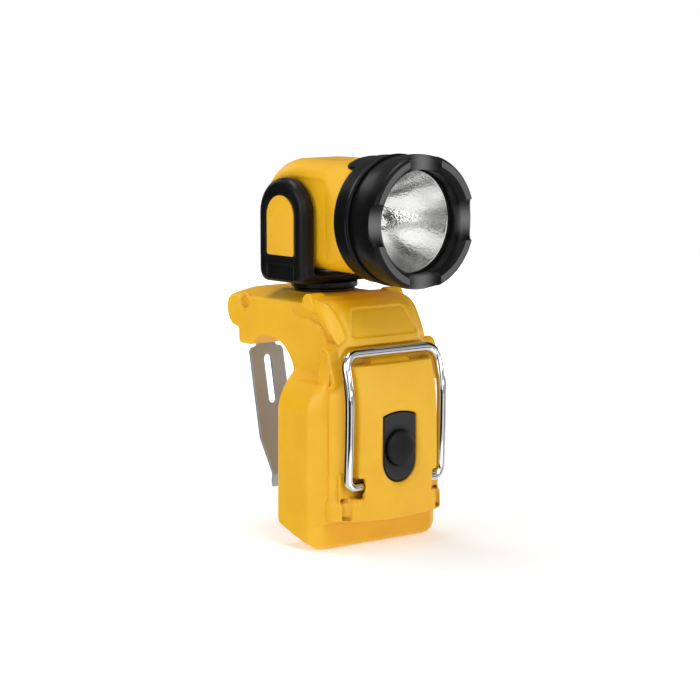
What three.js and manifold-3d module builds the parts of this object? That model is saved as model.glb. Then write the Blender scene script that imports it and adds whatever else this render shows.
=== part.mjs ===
// Pivoting-head work light with a hook, a belt clip and a wire bail.
// Millimetres, +Z up. The light faces -Y, and the origin is on the base face under the body.
import * as THREE from 'three';
import { mergeVertices } from 'three/addons/utils/BufferGeometryUtils.js';
import Module from 'manifold-3d';

const wasm = await Module();
wasm.setup();

// Driving dimensions shared by the whole light
const gap = 0.3;          // between pieces that touch
const slack = 0.25;       // between pieces that turn or slide on each other
const wall = 2.4;         // moulded wall
const overrun = 4;        // how far a cutter runs past what it cuts
const edge = 1.2;         // common edge rounding
const ease = 0.6;         // small edge rounding

// Rear housing: a battery case below and a hook beam above
const body = {
  beamHalf: 25,           // half width of the hook beam
  caseHalf: 36,           // half width of the battery case
  rear: 5,                // rear face of the case
  top: 107.6,             // top of the hook beam
  caseTop: 60,            // where the shoulder of the case starts
  shoulder: 17,           // height of the shoulder
  bevelFront: -17,        // front end of the case's side faces
  splitFront: -23.2,      // joint face towards the front cover
  splitHalf: 30.6,        // half width at the joint face
  cupFront: -21,          // front of the cup under the cover
  bottomRound: 6,
  bevelRound: 4,
  cornerRound: 3,
  crownDrop: 3.6,         // how far the beam's top edges lie under its crown
  crownHalf: 13,
  footHalf: 23.5,         // half width of the foot that reaches back under the case
  footRear: 2.6,
  footRise: 7,
  cutRise: 13.5,          // slanted cut under the rear corners
  cutFall: 2.2,
};

const hook = {
  archRadius: 18.3,
  archBack: 23.4,         // distance of the arch's centre behind the origin
  archDrop: 13.1,         // centre of the arch under the end of the lip
  lipRear: 44.5,
  lipLength: 8,
  endBack: 43.5,          // centre of the rounded rear end
  endRadius: 9.2,
  tuckShare: 0.8,         // how far down the rounded end meets the lip
  padDepth: 3.1,          // pad that the belt clip is screwed to
  padHalf: 19,
};

const cover = {
  lip: 12.2,              // lowest point of the bottom lip
  lipBow: 1.8,            // rise of the lip's edge towards its ends
  half: 30.6,
  front: 31.6,            // how far the flank lies in front of the origin
  corner: 13,
  panelHalf: 23.4,
  panelProud: 5.8,        // how far the middle panel bulges past the flanks
  panelRear: 20,
  panelDrop: 27.8,        // top of the panel under the beam's top
  channelHeight: 7.6,     // channel for the bail's top wire
  channelDepth: 24.6,     // back wall of the channel, in front of the origin
  splitDrop: 3.6,
  splitBack: 6,
  flareBack: -12,         // where the flanks start to flare out from the beam
};

// Outline shares of the cover from the lip up: height, half width, reach forward, corner radius
const coverRise = body.top - cover.lip;
const coverShares = [
  { rise: 0, half: 0.995, front: 1.0, corner: 0.7 },
  { rise: 0.02, half: 1.02, front: 1.03, corner: 0.72 },
  { rise: 0.08, half: 1.02, front: 1.03, corner: 0.75 },
  { rise: 0.13, half: 0.99, front: 0.985, corner: 0.95 },
  { rise: 0.35, half: 1.0, front: 1.0, corner: 1.0 },
  { rise: 0.58, half: 0.99, front: 0.995, corner: 1.0 },
  { rise: 0.68, half: 0.965, front: 0.955, corner: 0.95 },
  { rise: 0.755, half: 0.9, front: 0.9, corner: 0.85 },
  { rise: 0.79, half: 0.84, front: 0.865, corner: 0.72 },
  { rise: 0.835, half: 0.825, front: 0.825, corner: 0.7 },
  { rise: 0.895, half: 0.817, front: 0.745, corner: 0.7 },
  { rise: 0.95, half: 0.8, front: 0.645, corner: 0.68 },
  { rise: 0.983, half: 0.76, front: 0.5, corner: 0.6 },
  { rise: 1, half: 0.66, front: 0.3, corner: 0.45 },
];

// Middle panel from its lower end up: height, half width, bulge at the edge and in the middle
const panelShares = [
  { rise: 0, half: 0.99, side: 0.1, middle: 0.28 },
  { rise: 0.1, half: 0.95, side: 0.2, middle: 0.55 },
  { rise: 0.2, half: 0.92, side: 0.42, middle: 0.85 },
  { rise: 0.35, half: 0.9, side: 0.56, middle: 1.0 },
  { rise: 0.6, half: 0.9, side: 0.56, middle: 1.0 },
  { rise: 0.82, half: 0.92, side: 0.42, middle: 0.82 },
  { rise: 0.95, half: 0.95, side: 0.16, middle: 0.5 },
  { rise: 1, half: 0.96, side: 0.02, middle: 0.3 },
];

// Shoulder of the case: height over its start and half width over the beam's
const shoulderShares = [
  { rise: 0, half: 1 },
  { rise: 0.26, half: 0.89 },
  { rise: 0.53, half: 0.67 },
  { rise: 0.76, half: 0.4 },
  { rise: 1, half: 0 },
];

// Round cells, two contact strips and the door that closes their compartment
const cell = { radius: 7.25, length: 49.2, nub: 2.7, nubHeight: 1.3, pitch: 14.8, count: 4, back: 5.8 };
const cellFloor = 16.6;
const strip = { thickness: 0.5, height: 6 };
const tray = { wall: 1.2, depth: 4.2 };
const door = {
  thickness: 2.6,
  ledge: 1.6,             // how far the door laps over the opening behind it
  lowLedge: 0.4,
  corner: 6,
  knuckle: 2.1,
  knuckleLength: 9,
  pin: 1.0,
  pinHalf: 20.5,
};
const catchLeaf = { thickness: 0.6, half: 5, inset: 0.5 };

// Belt clip: a bent steel strap
const clip = {
  thickness: 1.6,
  half: 9.4,
  neckHalf: 5.2,
  neckDrop: 25.3,         // middle of the neck under the beam's top
  neckHeight: 6,
  topDrop: 4.6,
  topHalf: 15,
  bendDrop: 29.6,         // upper bend under the beam's top
  leg: 57,                // height between the two bends
  tipLength: 5.8,
  lean: 11.2,             // how far the strap comes forward from bend to bend
  flare: 2.6,
  taper: 17,              // where the sides start to draw in, over the lower bend
  tipHalf: 4.4,
  slotHalf: 2.05,
  slotDrop: 3.4,          // top of the slot under the upper bend
  slotLength: 21.8,
  screwSpread: 6.2,
  screwDrop: 10.1,
};

// Wire bail on the cover
const bail = {
  wire: 2.1,              // radius
  half: 26,
  pivotRise: 28.2,
  pivotFront: 32,
  topRise: 4.6,           // top wire over the panel's top
  topCorner: 6.5,
  footCorner: 4.2,
  foot: 16.6,             // where the feet end, from the middle
  bow: 1.3,               // how far the legs bow forward
  setBack: 3.2,           // how far the top lies back
};

// Switch in the middle panel
const toggle = {
  half: 8.8,
  top: 58.8,
  arch: 1.6,              // rise of the plate's top edge
  bottom: 29.2,
  thickness: 2.2,
  recess: 1.6,            // plate's depth behind the panel
  rim: 2.2,               // width of the sloped wall round the plate
  centre: 43.6,
  dome: 7.7,
  domeProud: 2.7,
  flange: 8.9,
  flangeThickness: 1.4,
  stem: 2.6,
  stemLength: 4.2,
  travel: 1.8,
};

const board = { half: 15, low: 32, high: 64, thickness: 1.6 };
const microSwitch = { half: 6.2, height: 12, plunger: 1.4, plungerSink: 1.5 };

// Screws: head radius, head height, shank radius, shank length and drive recess
const coverScrew = { head: 2.8, headHeight: 1.6, shank: 1.4, length: 9, drive: 1.3, driveDepth: 0.9 };
const clipScrew = { head: 2.9, headHeight: 1.7, shank: 1.5, length: 10, drive: 1.3, driveDepth: 0.9 };
const coverScrewPlaces = { inset: 5, low: 10, high: 7.5, boss: 3.4 };

// Turning head on top
const swivel = {
  back: 15,               // the swivel axis lies this far behind the origin
  washer: 13.4,
  washerThickness: 0.9,
  disc: 14.6,
  discThickness: 2.6,
  bore: 2.6,
  stem: 4.6,
  collar: 7.4,
  collarThickness: 1.2,
  ring: 7.2,
  ringThickness: 1.2,
  waveThickness: 1.3,
  stemDepth: 9.2,         // how far the stem hangs under the beam's top
};

const yoke = {
  armOuter: 25,
  armInner: 18.6,
  armHalf: 15.8,          // half depth of an arm
  armRound: 3,
  baseThickness: 3.8,
  footRound: 4.4,
  throatRound: 2.4,
  headRoom: 2.2,          // clearance between the yoke's base and the head
  labelHalf: 9.1,
  labelRise: 8.2,         // top of the label plate over the tilt axis
  labelDrop: 17.8,
  labelThickness: 0.7,
};

const pivot = { radius: 3.4, headRadius: 5.2, headLength: 1.6, reachIn: 3.6, washerOuter: 6.6, washerThickness: 0.35 };

const head = {
  half: 17.6,
  radius: 23.7,           // rear and top round about the tilt axis
  barrelDrop: 0.7,        // axis of the barrel under the tilt axis
  mouth: 23.2,            // front edge of the housing, in front of the origin
  mouthRadius: 24.9,
  wall: 2.3,
  spigot: 24.2,
  bore: 21.9,
  wireSlotHalf: 3,
  wireSlotLength: 20,
};

// Head housing from the rear: place, half width, rise, drop and corner as shares
const headShares = [
  { back: 0.965, half: 0.5, up: 0.14, down: 0.2, corner: 0.12 },
  { back: 0.935, half: 0.76, up: 0.3, down: 0.36, corner: 0.24 },
  { back: 0.84, half: 0.92, up: 0.53, down: 0.58, corner: 0.32 },
  { back: 0.66, half: 1.0, up: 0.76, down: 0.79, corner: 0.36 },
  { back: 0.4, half: 1.0, up: 0.92, down: 0.94, corner: 0.36 },
  { back: 0.05, half: 1.0, up: 1.0, down: 1.0, corner: 0.34 },
  { back: -0.4, half: 1.0, up: 1.0, down: 1.0, corner: 0.35 },
  { back: -0.85, half: 1.01, up: 1.0, down: 1.02, corner: 0.4 },
];

// Front parts of the head along the barrel axis, as distances in front of the origin
const collar = { length: 10.4, radius: 28.2, lip: 1.5, groove: 0.9, grooveWidth: 1.6 };
const bezel = {
  length: 17.4,
  rearRadius: 27.6,
  frontRadius: 28.6,
  frontEdge: 1.4,         // rounding between the flank and the front face
  flare: 7,
  faceRadius: 24.4,       // inner edge of the front face
  lip: 22.1,              // opening in front of the lens
  lipDepth: 3.0,          // front of the inner lip behind the front face
  lipThickness: 3.8,
  bore: 22.9,
  notches: 4,
  notchDepth: 2.2,        // at the outer edge
  notchScoop: 0.4,        // how much deeper it is inside
  notchChord: 17.6,
};
const tab = { half: 5.2, length: 7.5, thickness: 1.7 };
const lens = { radius: 22.6, thickness: 2, dome: 0.6 };
const gasket = { thickness: 1, inner: 21.6 };
const reflector = { rim: 21.4, depth: 25, throat: 4.4, thickness: 0.7, flange: 1.1, neck: 6 };
const holder = { radius: 8.5, length: 11, cup: 3.4 };
const bulb = { radius: 3.1, length: 13, base: 2.0, baseLength: 5 };

// Segment counts
const roundSteps = 32;
const cornerSteps = 3;
const fineSteps = 12;
const knobSteps = 20;
const dishSteps = 6;

const paint = (color, roughness, metalness = 0) =>
  new THREE.MeshStandardMaterial({ color, roughness, metalness });
const yellow = paint(0xedb42c, 0.38);
const black = paint(0x1c1c1e, 0.42);
const darkGrey = paint(0x4a4a4a, 0.55);
const rubber = paint(0x151516, 0.7);
const satinSteel = paint(0x8b8986, 0.42, 1);
const chrome = paint(0xd8d8d8, 0.08, 1);
const zinc = paint(0xb9b9b4, 0.35, 1);
const silver = paint(0xe2e2e0, 0.2, 1);
const clear = new THREE.MeshStandardMaterial({ color: 0xe8f0f2, roughness: 0.05, transparent: true, opacity: 0.35 });
const boardGreen = paint(0x1f5a35, 0.5);
const cellJacket = paint(0x35506b, 0.35);
const brass = paint(0xb8a05a, 0.35, 1);
const nylon = paint(0xd9d6cc, 0.6);

const light = new THREE.Group();
const tau = Math.PI * 2;
const quarter = Math.PI / 2;

// Turns a closed geometry into a solid with its faces pointing out
function solid(geometry) {
  const bare = new THREE.BufferGeometry();
  bare.setAttribute('position', geometry.getAttribute('position').clone());
  if (geometry.index) bare.setIndex(geometry.index.clone());
  const merged = mergeVertices(bare, 1e-4);
  const spots = merged.getAttribute('position').array;
  const faces = [];
  let volume = 0;
  for (let i = 0; i < merged.index.count; i += 3) {
    const [a, b, c] = [0, 1, 2].map((k) => merged.index.getX(i + k));
    if (a === b || b === c || c === a) continue;
    faces.push(a, b, c);
    const [p, q, r] = [a, b, c].map((v) => new THREE.Vector3().fromArray(spots, v * 3));
    volume += p.dot(q.cross(r));
  }
  if (volume < 0) faces.reverse();
  return new wasm.Manifold(new wasm.Mesh({
    numProp: 3,
    vertProperties: new Float32Array(spots),
    triVerts: new Uint32Array(faces),
  }));
}

const cut = (base, ...tools) => tools.reduce((rest, tool) => rest.subtract(tool), base);
const join = (first, ...others) => others.reduce((sum, other) => sum.add(other), first);
const overlap = (first, ...others) => others.reduce((rest, other) => rest.intersect(other), first);

function piece(name, form, material) {
  const mesh = form.getMesh();
  const geometry = new THREE.BufferGeometry();
  geometry.setAttribute('position', new THREE.BufferAttribute(new Float32Array(mesh.vertProperties), 3));
  geometry.setIndex(new THREE.BufferAttribute(new Uint32Array(mesh.triVerts), 1));
  geometry.computeVertexNormals();
  const part = new THREE.Mesh(geometry, material);
  part.name = name;
  light.add(part);
  return part;
}

// Points of an arc in a plane, from one angle to another
function arc(u, v, radius, from, to, steps = fineSteps) {
  return Array.from({ length: steps + 1 }, (_, i) => {
    const angle = from + ((to - from) * i) / steps;
    return new THREE.Vector2(u + radius * Math.cos(angle), v + radius * Math.sin(angle));
  });
}

// Rounds each corner [u, v, radius] of a closed outline
function rounded(corners, steps = cornerSteps) {
  const count = corners.length;
  const room = (i) => (corners[i % count][2] > 0 ? 0.49 : 0.96);
  return corners.flatMap(([u, v, radius = 0], i) => {
    const here = new THREE.Vector2(u, v);
    if (radius === 0) return [here];
    const before = new THREE.Vector2(...corners[(i + count - 1) % count].slice(0, 2)).sub(here);
    const after = new THREE.Vector2(...corners[(i + 1) % count].slice(0, 2)).sub(here);
    const half = Math.acos(THREE.MathUtils.clamp(before.clone().normalize().dot(after.clone().normalize()), -1, 1)) / 2;
    const reach = Math.min(radius / Math.tan(half), before.length() * room(i + count - 1), after.length() * room(i + 1));
    const a = here.clone().addScaledVector(before.normalize(), reach);
    const b = here.clone().addScaledVector(after.normalize(), reach);
    const swing = reach * Math.tan(half);
    const centre = here.clone().add(before.clone().add(after).normalize().multiplyScalar(swing / Math.sin(half)));
    const from = Math.atan2(a.y - centre.y, a.x - centre.x);
    let turn = Math.atan2(b.y - centre.y, b.x - centre.x) - from;
    if (turn > Math.PI) turn -= tau;
    if (turn < -Math.PI) turn += tau;
    return arc(centre.x, centre.y, swing, from, from + turn, steps);
  });
}

// A long outline with round ends, from one centre to the other
function capsule([u0, v0], [u1, v1], radius, steps = 5) {
  const angle = Math.atan2(v1 - v0, u1 - u0);
  return [
    ...arc(u1, v1, radius, angle - quarter, angle + quarter, steps),
    ...arc(u0, v0, radius, angle + quarter, angle + 3 * quarter, steps),
  ];
}

// The right half of an outline, mirrored to the left
const mirrored = (half) => [...half, ...half.slice().reverse().map(([u, v, r]) => [-u, v, r])];

function extrude(points, depth, bevel = 0, steps = 2) {
  const shape = new THREE.Shape(points);
  const bevelled = bevel > 0;
  return new THREE.ExtrudeGeometry(shape, {
    depth: depth - 2 * bevel,
    bevelEnabled: bevelled,
    bevelThickness: bevel,
    bevelSize: bevel,
    bevelOffset: -bevel,
    bevelSegments: steps,
    steps: 1,
  }).translate(0, 0, bevel);
}

const across = new THREE.Matrix4().makeBasis(
  new THREE.Vector3(0, 1, 0), new THREE.Vector3(0, 0, 1), new THREE.Vector3(1, 0, 0));
const forward = new THREE.Matrix4().makeBasis(
  new THREE.Vector3(1, 0, 0), new THREE.Vector3(0, 0, 1), new THREE.Vector3(0, -1, 0));

// An outline drawn in Y and Z, extruded from x0 to x1
const sideways = (points, x0, x1, bevel = 0) =>
  solid(extrude(points, x1 - x0, bevel).applyMatrix4(across).translate(x0, 0, 0));
// An outline drawn in X and Z, extruded from y1 forward to y0
const frontal = (points, y0, y1, bevel = 0) =>
  solid(extrude(points, y1 - y0, bevel).applyMatrix4(forward).translate(0, y1, 0));
// An outline drawn in X and Y, extruded from z0 to z1
const upright = (points, z0, z1, bevel = 0) =>
  solid(extrude(points, z1 - z0, bevel).translate(0, 0, z0));

function box(x0, x1, y0, y1, z0, z1) {
  const geometry = new THREE.BoxGeometry(x1 - x0, y1 - y0, z1 - z0);
  return solid(geometry.translate((x0 + x1) / 2, (y0 + y1) / 2, (z0 + z1) / 2));
}

// A solid of revolution from [radius, place] pairs; about Z, or turned onto Y or X
function lathe(profile, axis = 'z', steps = roundSteps) {
  const geometry = new THREE.LatheGeometry(profile.map(([r, t]) => new THREE.Vector2(r, t)), steps);
  if (axis === 'z') geometry.rotateX(quarter);
  if (axis === 'x') geometry.rotateZ(-quarter);
  return geometry;
}

const turned = (profile, axis, x, y, z, steps) => solid(lathe(profile, axis, steps).translate(x, y, z));
const rod = (radius, from, to, axis, x, y, z, steps = 24) =>
  turned([[0, from], [radius, from], [radius, to], [0, to]], axis, x, y, z, steps);
const tube = (inner, outer, from, to, axis, x, y, z, steps = 32) =>
  turned([[inner, from], [outer, from], [outer, to], [inner, to], [inner, from]], axis, x, y, z, steps);

// A closed skin through rings of points, with flat ends
function loft(rings) {
  const count = rings[0].length;
  const points = rings.flat();
  const index = [];
  for (let k = 0; k + 1 < rings.length; k += 1) {
    for (let i = 0; i < count; i += 1) {
      const [a, b] = [k * count + i, k * count + ((i + 1) % count)];
      index.push(a, b, b + count, a, b + count, a + count);
    }
  }
  for (const [start, flip] of [[0, true], [(rings.length - 1) * count, false]]) {
    const middle = new THREE.Vector3();
    for (let i = 0; i < count; i += 1) middle.add(points[start + i]);
    points.push(middle.divideScalar(count));
    for (let i = 0; i < count; i += 1) {
      const [a, b] = [start + i, start + ((i + 1) % count)];
      index.push(...(flip ? [b, a] : [a, b]), points.length - 1);
    }
  }
  const geometry = new THREE.BufferGeometry().setFromPoints(points);
  geometry.setIndex(index);
  return solid(geometry);
}

const planRing = (outline, z, steps) => rounded(outline, steps).map((p) => new THREE.Vector3(p.x, p.y, z));

// A mirror pair of one form, built for the right and repeated on the left
const bothSides = (build) => [build(1), build(-1)];

const washerTop = body.top + gap + swivel.washerThickness;
const discTop = washerTop + gap + swivel.discThickness;
const yokeFloor = discTop + gap;
const yokeTop = yokeFloor + yoke.baseThickness;
const tiltRise = yokeTop + yoke.headRoom + head.radius;
const barrelRise = tiltRise - head.barrelDrop;
const endRise = body.top - hook.endRadius;
const tuckRise = endRise - hook.endRadius * hook.tuckShare;
const lipBottom = tuckRise - hook.lipLength;
const archRise = lipBottom - hook.archDrop;
const panelTop = body.top - cover.panelDrop;
const channelTop = panelTop + cover.channelHeight;
const splitTop = body.top - cover.splitDrop;
const bailTop = panelTop + bail.topRise;
const clipFace = hook.endBack + hook.endRadius + hook.padDepth + gap;
const doorFace = body.rear - door.thickness;
const cellHalfSpan = cell.pitch * (cell.count - 1) / 2 + cell.radius;
const bayHalf = cellHalfSpan + gap * 2;
const bayFront = -cell.back - cell.radius - gap * 2;
const bayLow = cellFloor - strip.thickness - tray.wall - gap * 3;
const bayHigh = cellFloor + cell.length + cell.nubHeight + strip.thickness + gap * 3;
const midFront = bayFront - wall * 1.4;
const doorHalf = bayHalf + door.ledge;
const doorLow = bayLow - door.lowLedge;
const doorHigh = bayHigh + door.ledge;
const boardFront = midFront - gap - board.thickness;

// Whole outer form of the light's body, before it is split into housing and cover
function caseForm() {
  const section = (half, inset) => mirrored([
    [half - inset, body.rear - inset * 0.4, body.cornerRound],
    [half - inset, body.bevelFront, body.bevelRound],
    [Math.min(body.splitHalf, half) - inset, body.splitFront + inset, body.bevelRound],
  ]);
  const rings = [
    planRing(section(body.caseHalf, body.bottomRound), 0),
    planRing(section(body.caseHalf, body.bottomRound * 0.4), body.bottomRound * 0.2),
    planRing(section(body.caseHalf, body.bottomRound * 0.1), body.bottomRound * 0.55),
    planRing(section(body.caseHalf, 0), body.bottomRound),
    ...shoulderShares.map(({ rise, half }) => planRing(
      section(body.beamHalf - gap + (body.caseHalf - body.beamHalf) * half, 0), body.caseTop + body.shoulder * rise)),
  ];
  return loft(rings);
}

function cupCut() {
  const corner = [
    [body.caseHalf + overrun, body.cupFront - overrun * 3],
    [body.caseHalf + overrun, body.bevelFront + edge],
    [body.splitHalf, body.cupFront],
  ];
  const outline = [...corner, ...corner.slice().reverse().map(([u, v]) => [-u, v])];
  return upright(outline.map(([u, v]) => new THREE.Vector2(u, v)), -overrun, cover.lip);
}

function rearCuts() {
  const slant = [
    new THREE.Vector2(body.rear + overrun, body.cutRise + overrun * 0.55),
    new THREE.Vector2(body.rear, body.cutRise),
    new THREE.Vector2(body.rear - edge * 2, body.cutRise - edge * 3.2),
    new THREE.Vector2(body.bevelFront, body.cutFall),
    new THREE.Vector2(body.bevelFront, -overrun),
    new THREE.Vector2(body.rear + overrun, -overrun),
  ];
  const heel = [
    new THREE.Vector2(body.rear + overrun, body.footRise),
    new THREE.Vector2(body.rear, body.footRise),
    new THREE.Vector2(body.footRear, edge),
    new THREE.Vector2(body.footRear - edge, -ease),
    new THREE.Vector2(body.rear + overrun, -ease),
  ];
  return [
    sideways(slant, body.footHalf, body.caseHalf + overrun),
    sideways(slant, -body.caseHalf - overrun, -body.footHalf),
    sideways(heel, -body.footHalf - edge, body.footHalf + edge),
  ];
}

function beamForm() {
  const lipFront = hook.archBack + Math.sqrt(hook.archRadius ** 2 - (lipBottom - archRise) ** 2);
  const lipAngle = Math.atan2(lipBottom - archRise, lipFront - hook.archBack);
  const tuckAngle = Math.asin((tuckRise - endRise) / hook.endRadius);
  const root = Math.min(body.caseTop, archRise) - overrun;
  const side = [
    new THREE.Vector2(-cover.splitBack - edge, body.top),
    ...arc(hook.endBack, endRise, hook.endRadius, quarter, tuckAngle),
    new THREE.Vector2(hook.lipRear, tuckRise - edge),
    ...rounded([
      [hook.lipRear, tuckRise - edge],
      [hook.lipRear, lipBottom, edge * 1.8],
      [lipFront, lipBottom, 0],
    ]).slice(1, -1),
    ...arc(hook.archBack, archRise, hook.archRadius, lipAngle, Math.PI, fineSteps + 4),
    new THREE.Vector2(hook.archBack - hook.archRadius, root),
    new THREE.Vector2(body.bevelFront, root),
  ];
  const edgeRise = body.top - body.crownDrop;
  const seat = rod(swivel.disc + ease, body.top - body.crownDrop, body.top, 'z', 0, swivel.back, 0, roundSteps);
  const front = rounded(mirrored([
    [body.beamHalf, root - overrun, 0],
    [body.beamHalf, edgeRise, edge * 2],
    [body.crownHalf, body.top + ease * 0.1, edge * 6],
  ]));
  const beam = overlap(
    sideways(side, -body.beamHalf, body.beamHalf, edge),
    frontal(front, -body.top, hook.endBack + hook.endRadius + overrun));
  const padRear = hook.endBack + hook.endRadius + hook.padDepth;
  const pad = frontal(rounded(mirrored([
    [hook.padHalf, tuckRise + edge, edge],
    [hook.padHalf, body.top - body.crownDrop, edge],
  ])), hook.endBack, padRear);
  return join(beam, pad, seat);
}

const coverStation = (share, inset = 0) => {
  const half = cover.half * share.half - inset;
  const front = -cover.front * share.front + inset;
  const corner = Math.max(cover.corner * share.corner - inset, edge);
  const shoulder = Math.min(half, body.beamHalf - gap - inset);
  return mirrored([
    [shoulder, inset > 0 ? Math.max(midFront, front + corner + edge * 3) : 0, 0],
    [shoulder, Math.max(cover.flareBack, front + corner + edge * 2), 0],
    [half, Math.max(body.splitFront + edge, front + corner + edge), 0],
    [half, front, corner],
  ]);
};

function coverForm(inset = 0) {
  const rings = coverShares.map((share, i) => {
    const last = coverShares.length - 1;
    let z = cover.lip + coverRise * share.rise;
    if (i === 0) z += inset * 1.5;
    if (i === last) z -= inset * 1.3;
    return { z, share };
  }).filter(({ z }) => z <= body.top - inset * 1.3 && z >= cover.lip + inset)
    .map(({ z, share }) => planRing(coverStation(share, inset), z, inset > 0 ? cornerSteps : fineSteps / 2));
  return loft(rings);
}

function panelForm(inset = 0) {
  const rise = panelTop - cover.lip;
  const rings = panelShares.map(({ rise: up, half, side, middle }, i) => {
    let z = cover.lip + rise * up;
    if (i === 0) z += inset * 2.5;
    if (i === panelShares.length - 1) z -= inset;
    const halfWidth = cover.panelHalf * half - inset;
    const reach = (share) => -cover.front - cover.panelProud * share + inset;
    const outline = mirrored([
      [halfWidth, -cover.panelRear, 0],
      [halfWidth, reach(0) + edge * 2, edge],
      [halfWidth - edge * 2, reach(side), edge * 1.5],
      [halfWidth * 0.45, reach(side * 0.3 + middle * 0.7), cover.corner / 2],
      [edge, reach(middle), 0],
    ]);
    return planRing(outline, z, 3);
  });
  return loft(rings);
}

// Side outline of everything in front of the joint between housing and cover
function coverRegion(shift = 0) {
  const back = (y) => y - shift;
  return [
    new THREE.Vector2(back(-cover.splitBack), body.top + overrun),
    new THREE.Vector2(back(-cover.splitBack), splitTop),
    new THREE.Vector2(back(-cover.splitBack * 1.42), splitTop - edge * 4.6),
    new THREE.Vector2(back(body.splitFront * 0.67), splitTop - edge * 10),
    new THREE.Vector2(back(body.splitFront * 0.8), channelTop - edge),
    new THREE.Vector2(back(body.splitFront * 0.99), panelTop),
    new THREE.Vector2(back(body.splitFront), panelTop - edge * 3),
    new THREE.Vector2(back(body.splitFront), cover.lip - overrun),
    new THREE.Vector2(-cover.front * 2, cover.lip - overrun),
    new THREE.Vector2(-cover.front * 2, body.top + overrun),
  ];
}

// Everything that lies under the cover's bowed lower edge
function underLip(lift) {
  const half = cover.half + overrun;
  const radius = (half ** 2 + cover.lipBow ** 2) / (2 * cover.lipBow);
  const swing = Math.asin(half / radius);
  const bottom = arc(0, cover.lip + radius + lift, radius, -quarter - swing, -quarter + swing);
  const low = -overrun;
  return frontal([...bottom, new THREE.Vector2(half, low), new THREE.Vector2(-half, low)],
    -cover.front * 3, body.rear);
}

// The space in front of the joint, moved off it by a clearance
const coverZone = (shift) => sideways(coverRegion(shift), -body.caseHalf - overrun, body.caseHalf + overrun);

const flankCavity = () => overlap(
  coverForm(wall), box(-cover.half, cover.half, -cover.front * 2, midFront, cover.lip, body.top));
const frontCavity = () => join(flankCavity(), panelForm(wall));

// The wire's channel across the cover, and the pockets that its feet sit in
function bailRoom() {
  const clearance = bail.wire + gap * 1.5;
  const channel = sideways(rounded([
    [-cover.channelDepth, panelTop, edge],
    [-cover.front * 1.6, panelTop, 0],
    [-cover.front * 1.6, channelTop + edge * 2.5, 0],
    [-cover.channelDepth, channelTop, edge],
  ]), -cover.half - overrun, cover.half + overrun);
  const pockets = bothSides((s) => {
    const inner = bail.foot + gap + edge * 1.6;
    const outer = bail.half + clearance;
    const [x0, x1] = s > 0 ? [inner, outer] : [-outer, -inner];
    return box(x0, x1, -cover.front * 2, -bail.pivotFront + clearance,
      bail.pivotRise - clearance * 2, bail.pivotRise + clearance * 1.6);
  });
  const sockets = bothSides((s) =>
    rod(bail.wire + slack, 0, bail.half, 'x', s > 0 ? bail.foot - gap * 2 : -bail.half - bail.foot + gap * 2,
      -bail.pivotFront, bail.pivotRise, 12));
  return [channel, ...pockets, ...sockets];
}

// Outline of the switch plate: straight sides, arched top and a rounded lower end
function plateOutline(grow) {
  const half = toggle.half + grow;
  const lower = toggle.bottom + half - grow;
  const top = toggle.top + grow;
  const drop = toggle.arch;
  const radius = (half ** 2 + drop ** 2) / (2 * drop);
  const swing = Math.asin(half / radius);
  return [
    ...arc(0, lower, half, Math.PI, tau, fineSteps),
    ...arc(0, top - radius, radius, quarter - swing, quarter + swing, 8),
  ];
}

const panelFace = -cover.front - cover.panelProud;
const plateFace = panelFace + toggle.recess;
const plateBack = plateFace + toggle.thickness;

function switchRoom() {
  const through = frontal(plateOutline(gap), panelFace - overrun, plateBack + overrun);
  const flare = loft([
    [toggle.rim * 2, panelFace - toggle.recess],
    [toggle.rim, panelFace],
    [gap, plateFace + ease],
  ].map(([grow, y]) => plateOutline(grow).map((p) => new THREE.Vector3(p.x, y, p.y))));
  return [through, flare];
}

// Shallow bare field on the cover's sloping brow
function nameplateRecess() {
  const half = body.crownHalf + edge * 3;
  const field = frontal(rounded(mirrored([
    [half + edge, channelTop + edge * 3.6, edge],
    [half - edge, body.top - edge * 3.6, edge],
  ])), -cover.front * 2, -cover.front * 0.2);
  return field.subtract(coverForm(ease));
}

// Long raised rings on the cover's flanks, and round knobs at its upper corners
function flankRings() {
  const low = [body.splitFront * 0.93, panelTop - edge * 7];
  const high = [body.splitFront * 0.83, channelTop - edge * 2];
  const outer = capsule(low, high, edge * 2.3);
  const inner = capsule(low, high, edge * 1.1);
  const [x0, x1] = [cover.half * 0.78, cover.half * 0.985];
  const sink = x1 - ease;
  return bothSides((s) => (s > 0
    ? sideways(outer, x0, x1, ease).subtract(sideways(inner, sink, x1 + overrun))
    : sideways(outer, -x1, -x0, ease).subtract(sideways(inner, -x1 - overrun, -sink))));
}

const knobs = () => bothSides((s) => rod(
  edge * 2.4, 0, edge * 4, 'x', s > 0 ? cover.half * 0.837 - edge * 4 : -cover.half * 0.837,
  -cover.splitBack * 1.35, splitTop, knobSteps));

const coverScrewSpots = [1, -1].flatMap((s) => [bayLow + coverScrewPlaces.low, bayHigh - coverScrewPlaces.high]
  .map((z) => [s * (body.splitHalf - coverScrewPlaces.inset), z]));
const screwSeat = bayFront - coverScrew.headHeight - gap * 2.3;

const coverBosses = (grow = 0) => coverScrewSpots.map(([x, z]) => rod(
  coverScrewPlaces.boss + grow, midFront - gap + grow, midFront - gap - coverScrew.length, 'y', x, 0, z, 12));
const coverPilots = () => coverScrewSpots.map(([x, z]) => rod(
  coverScrew.shank + slack, midFront + overrun, midFront - coverScrew.length - gap, 'y', x, 0, z, 8));

const bodyForm = () => cut(
  join(cut(caseForm(), cupCut()), beamForm(), cut(coverForm(), underLip(0))),
  ...rearCuts());

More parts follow.
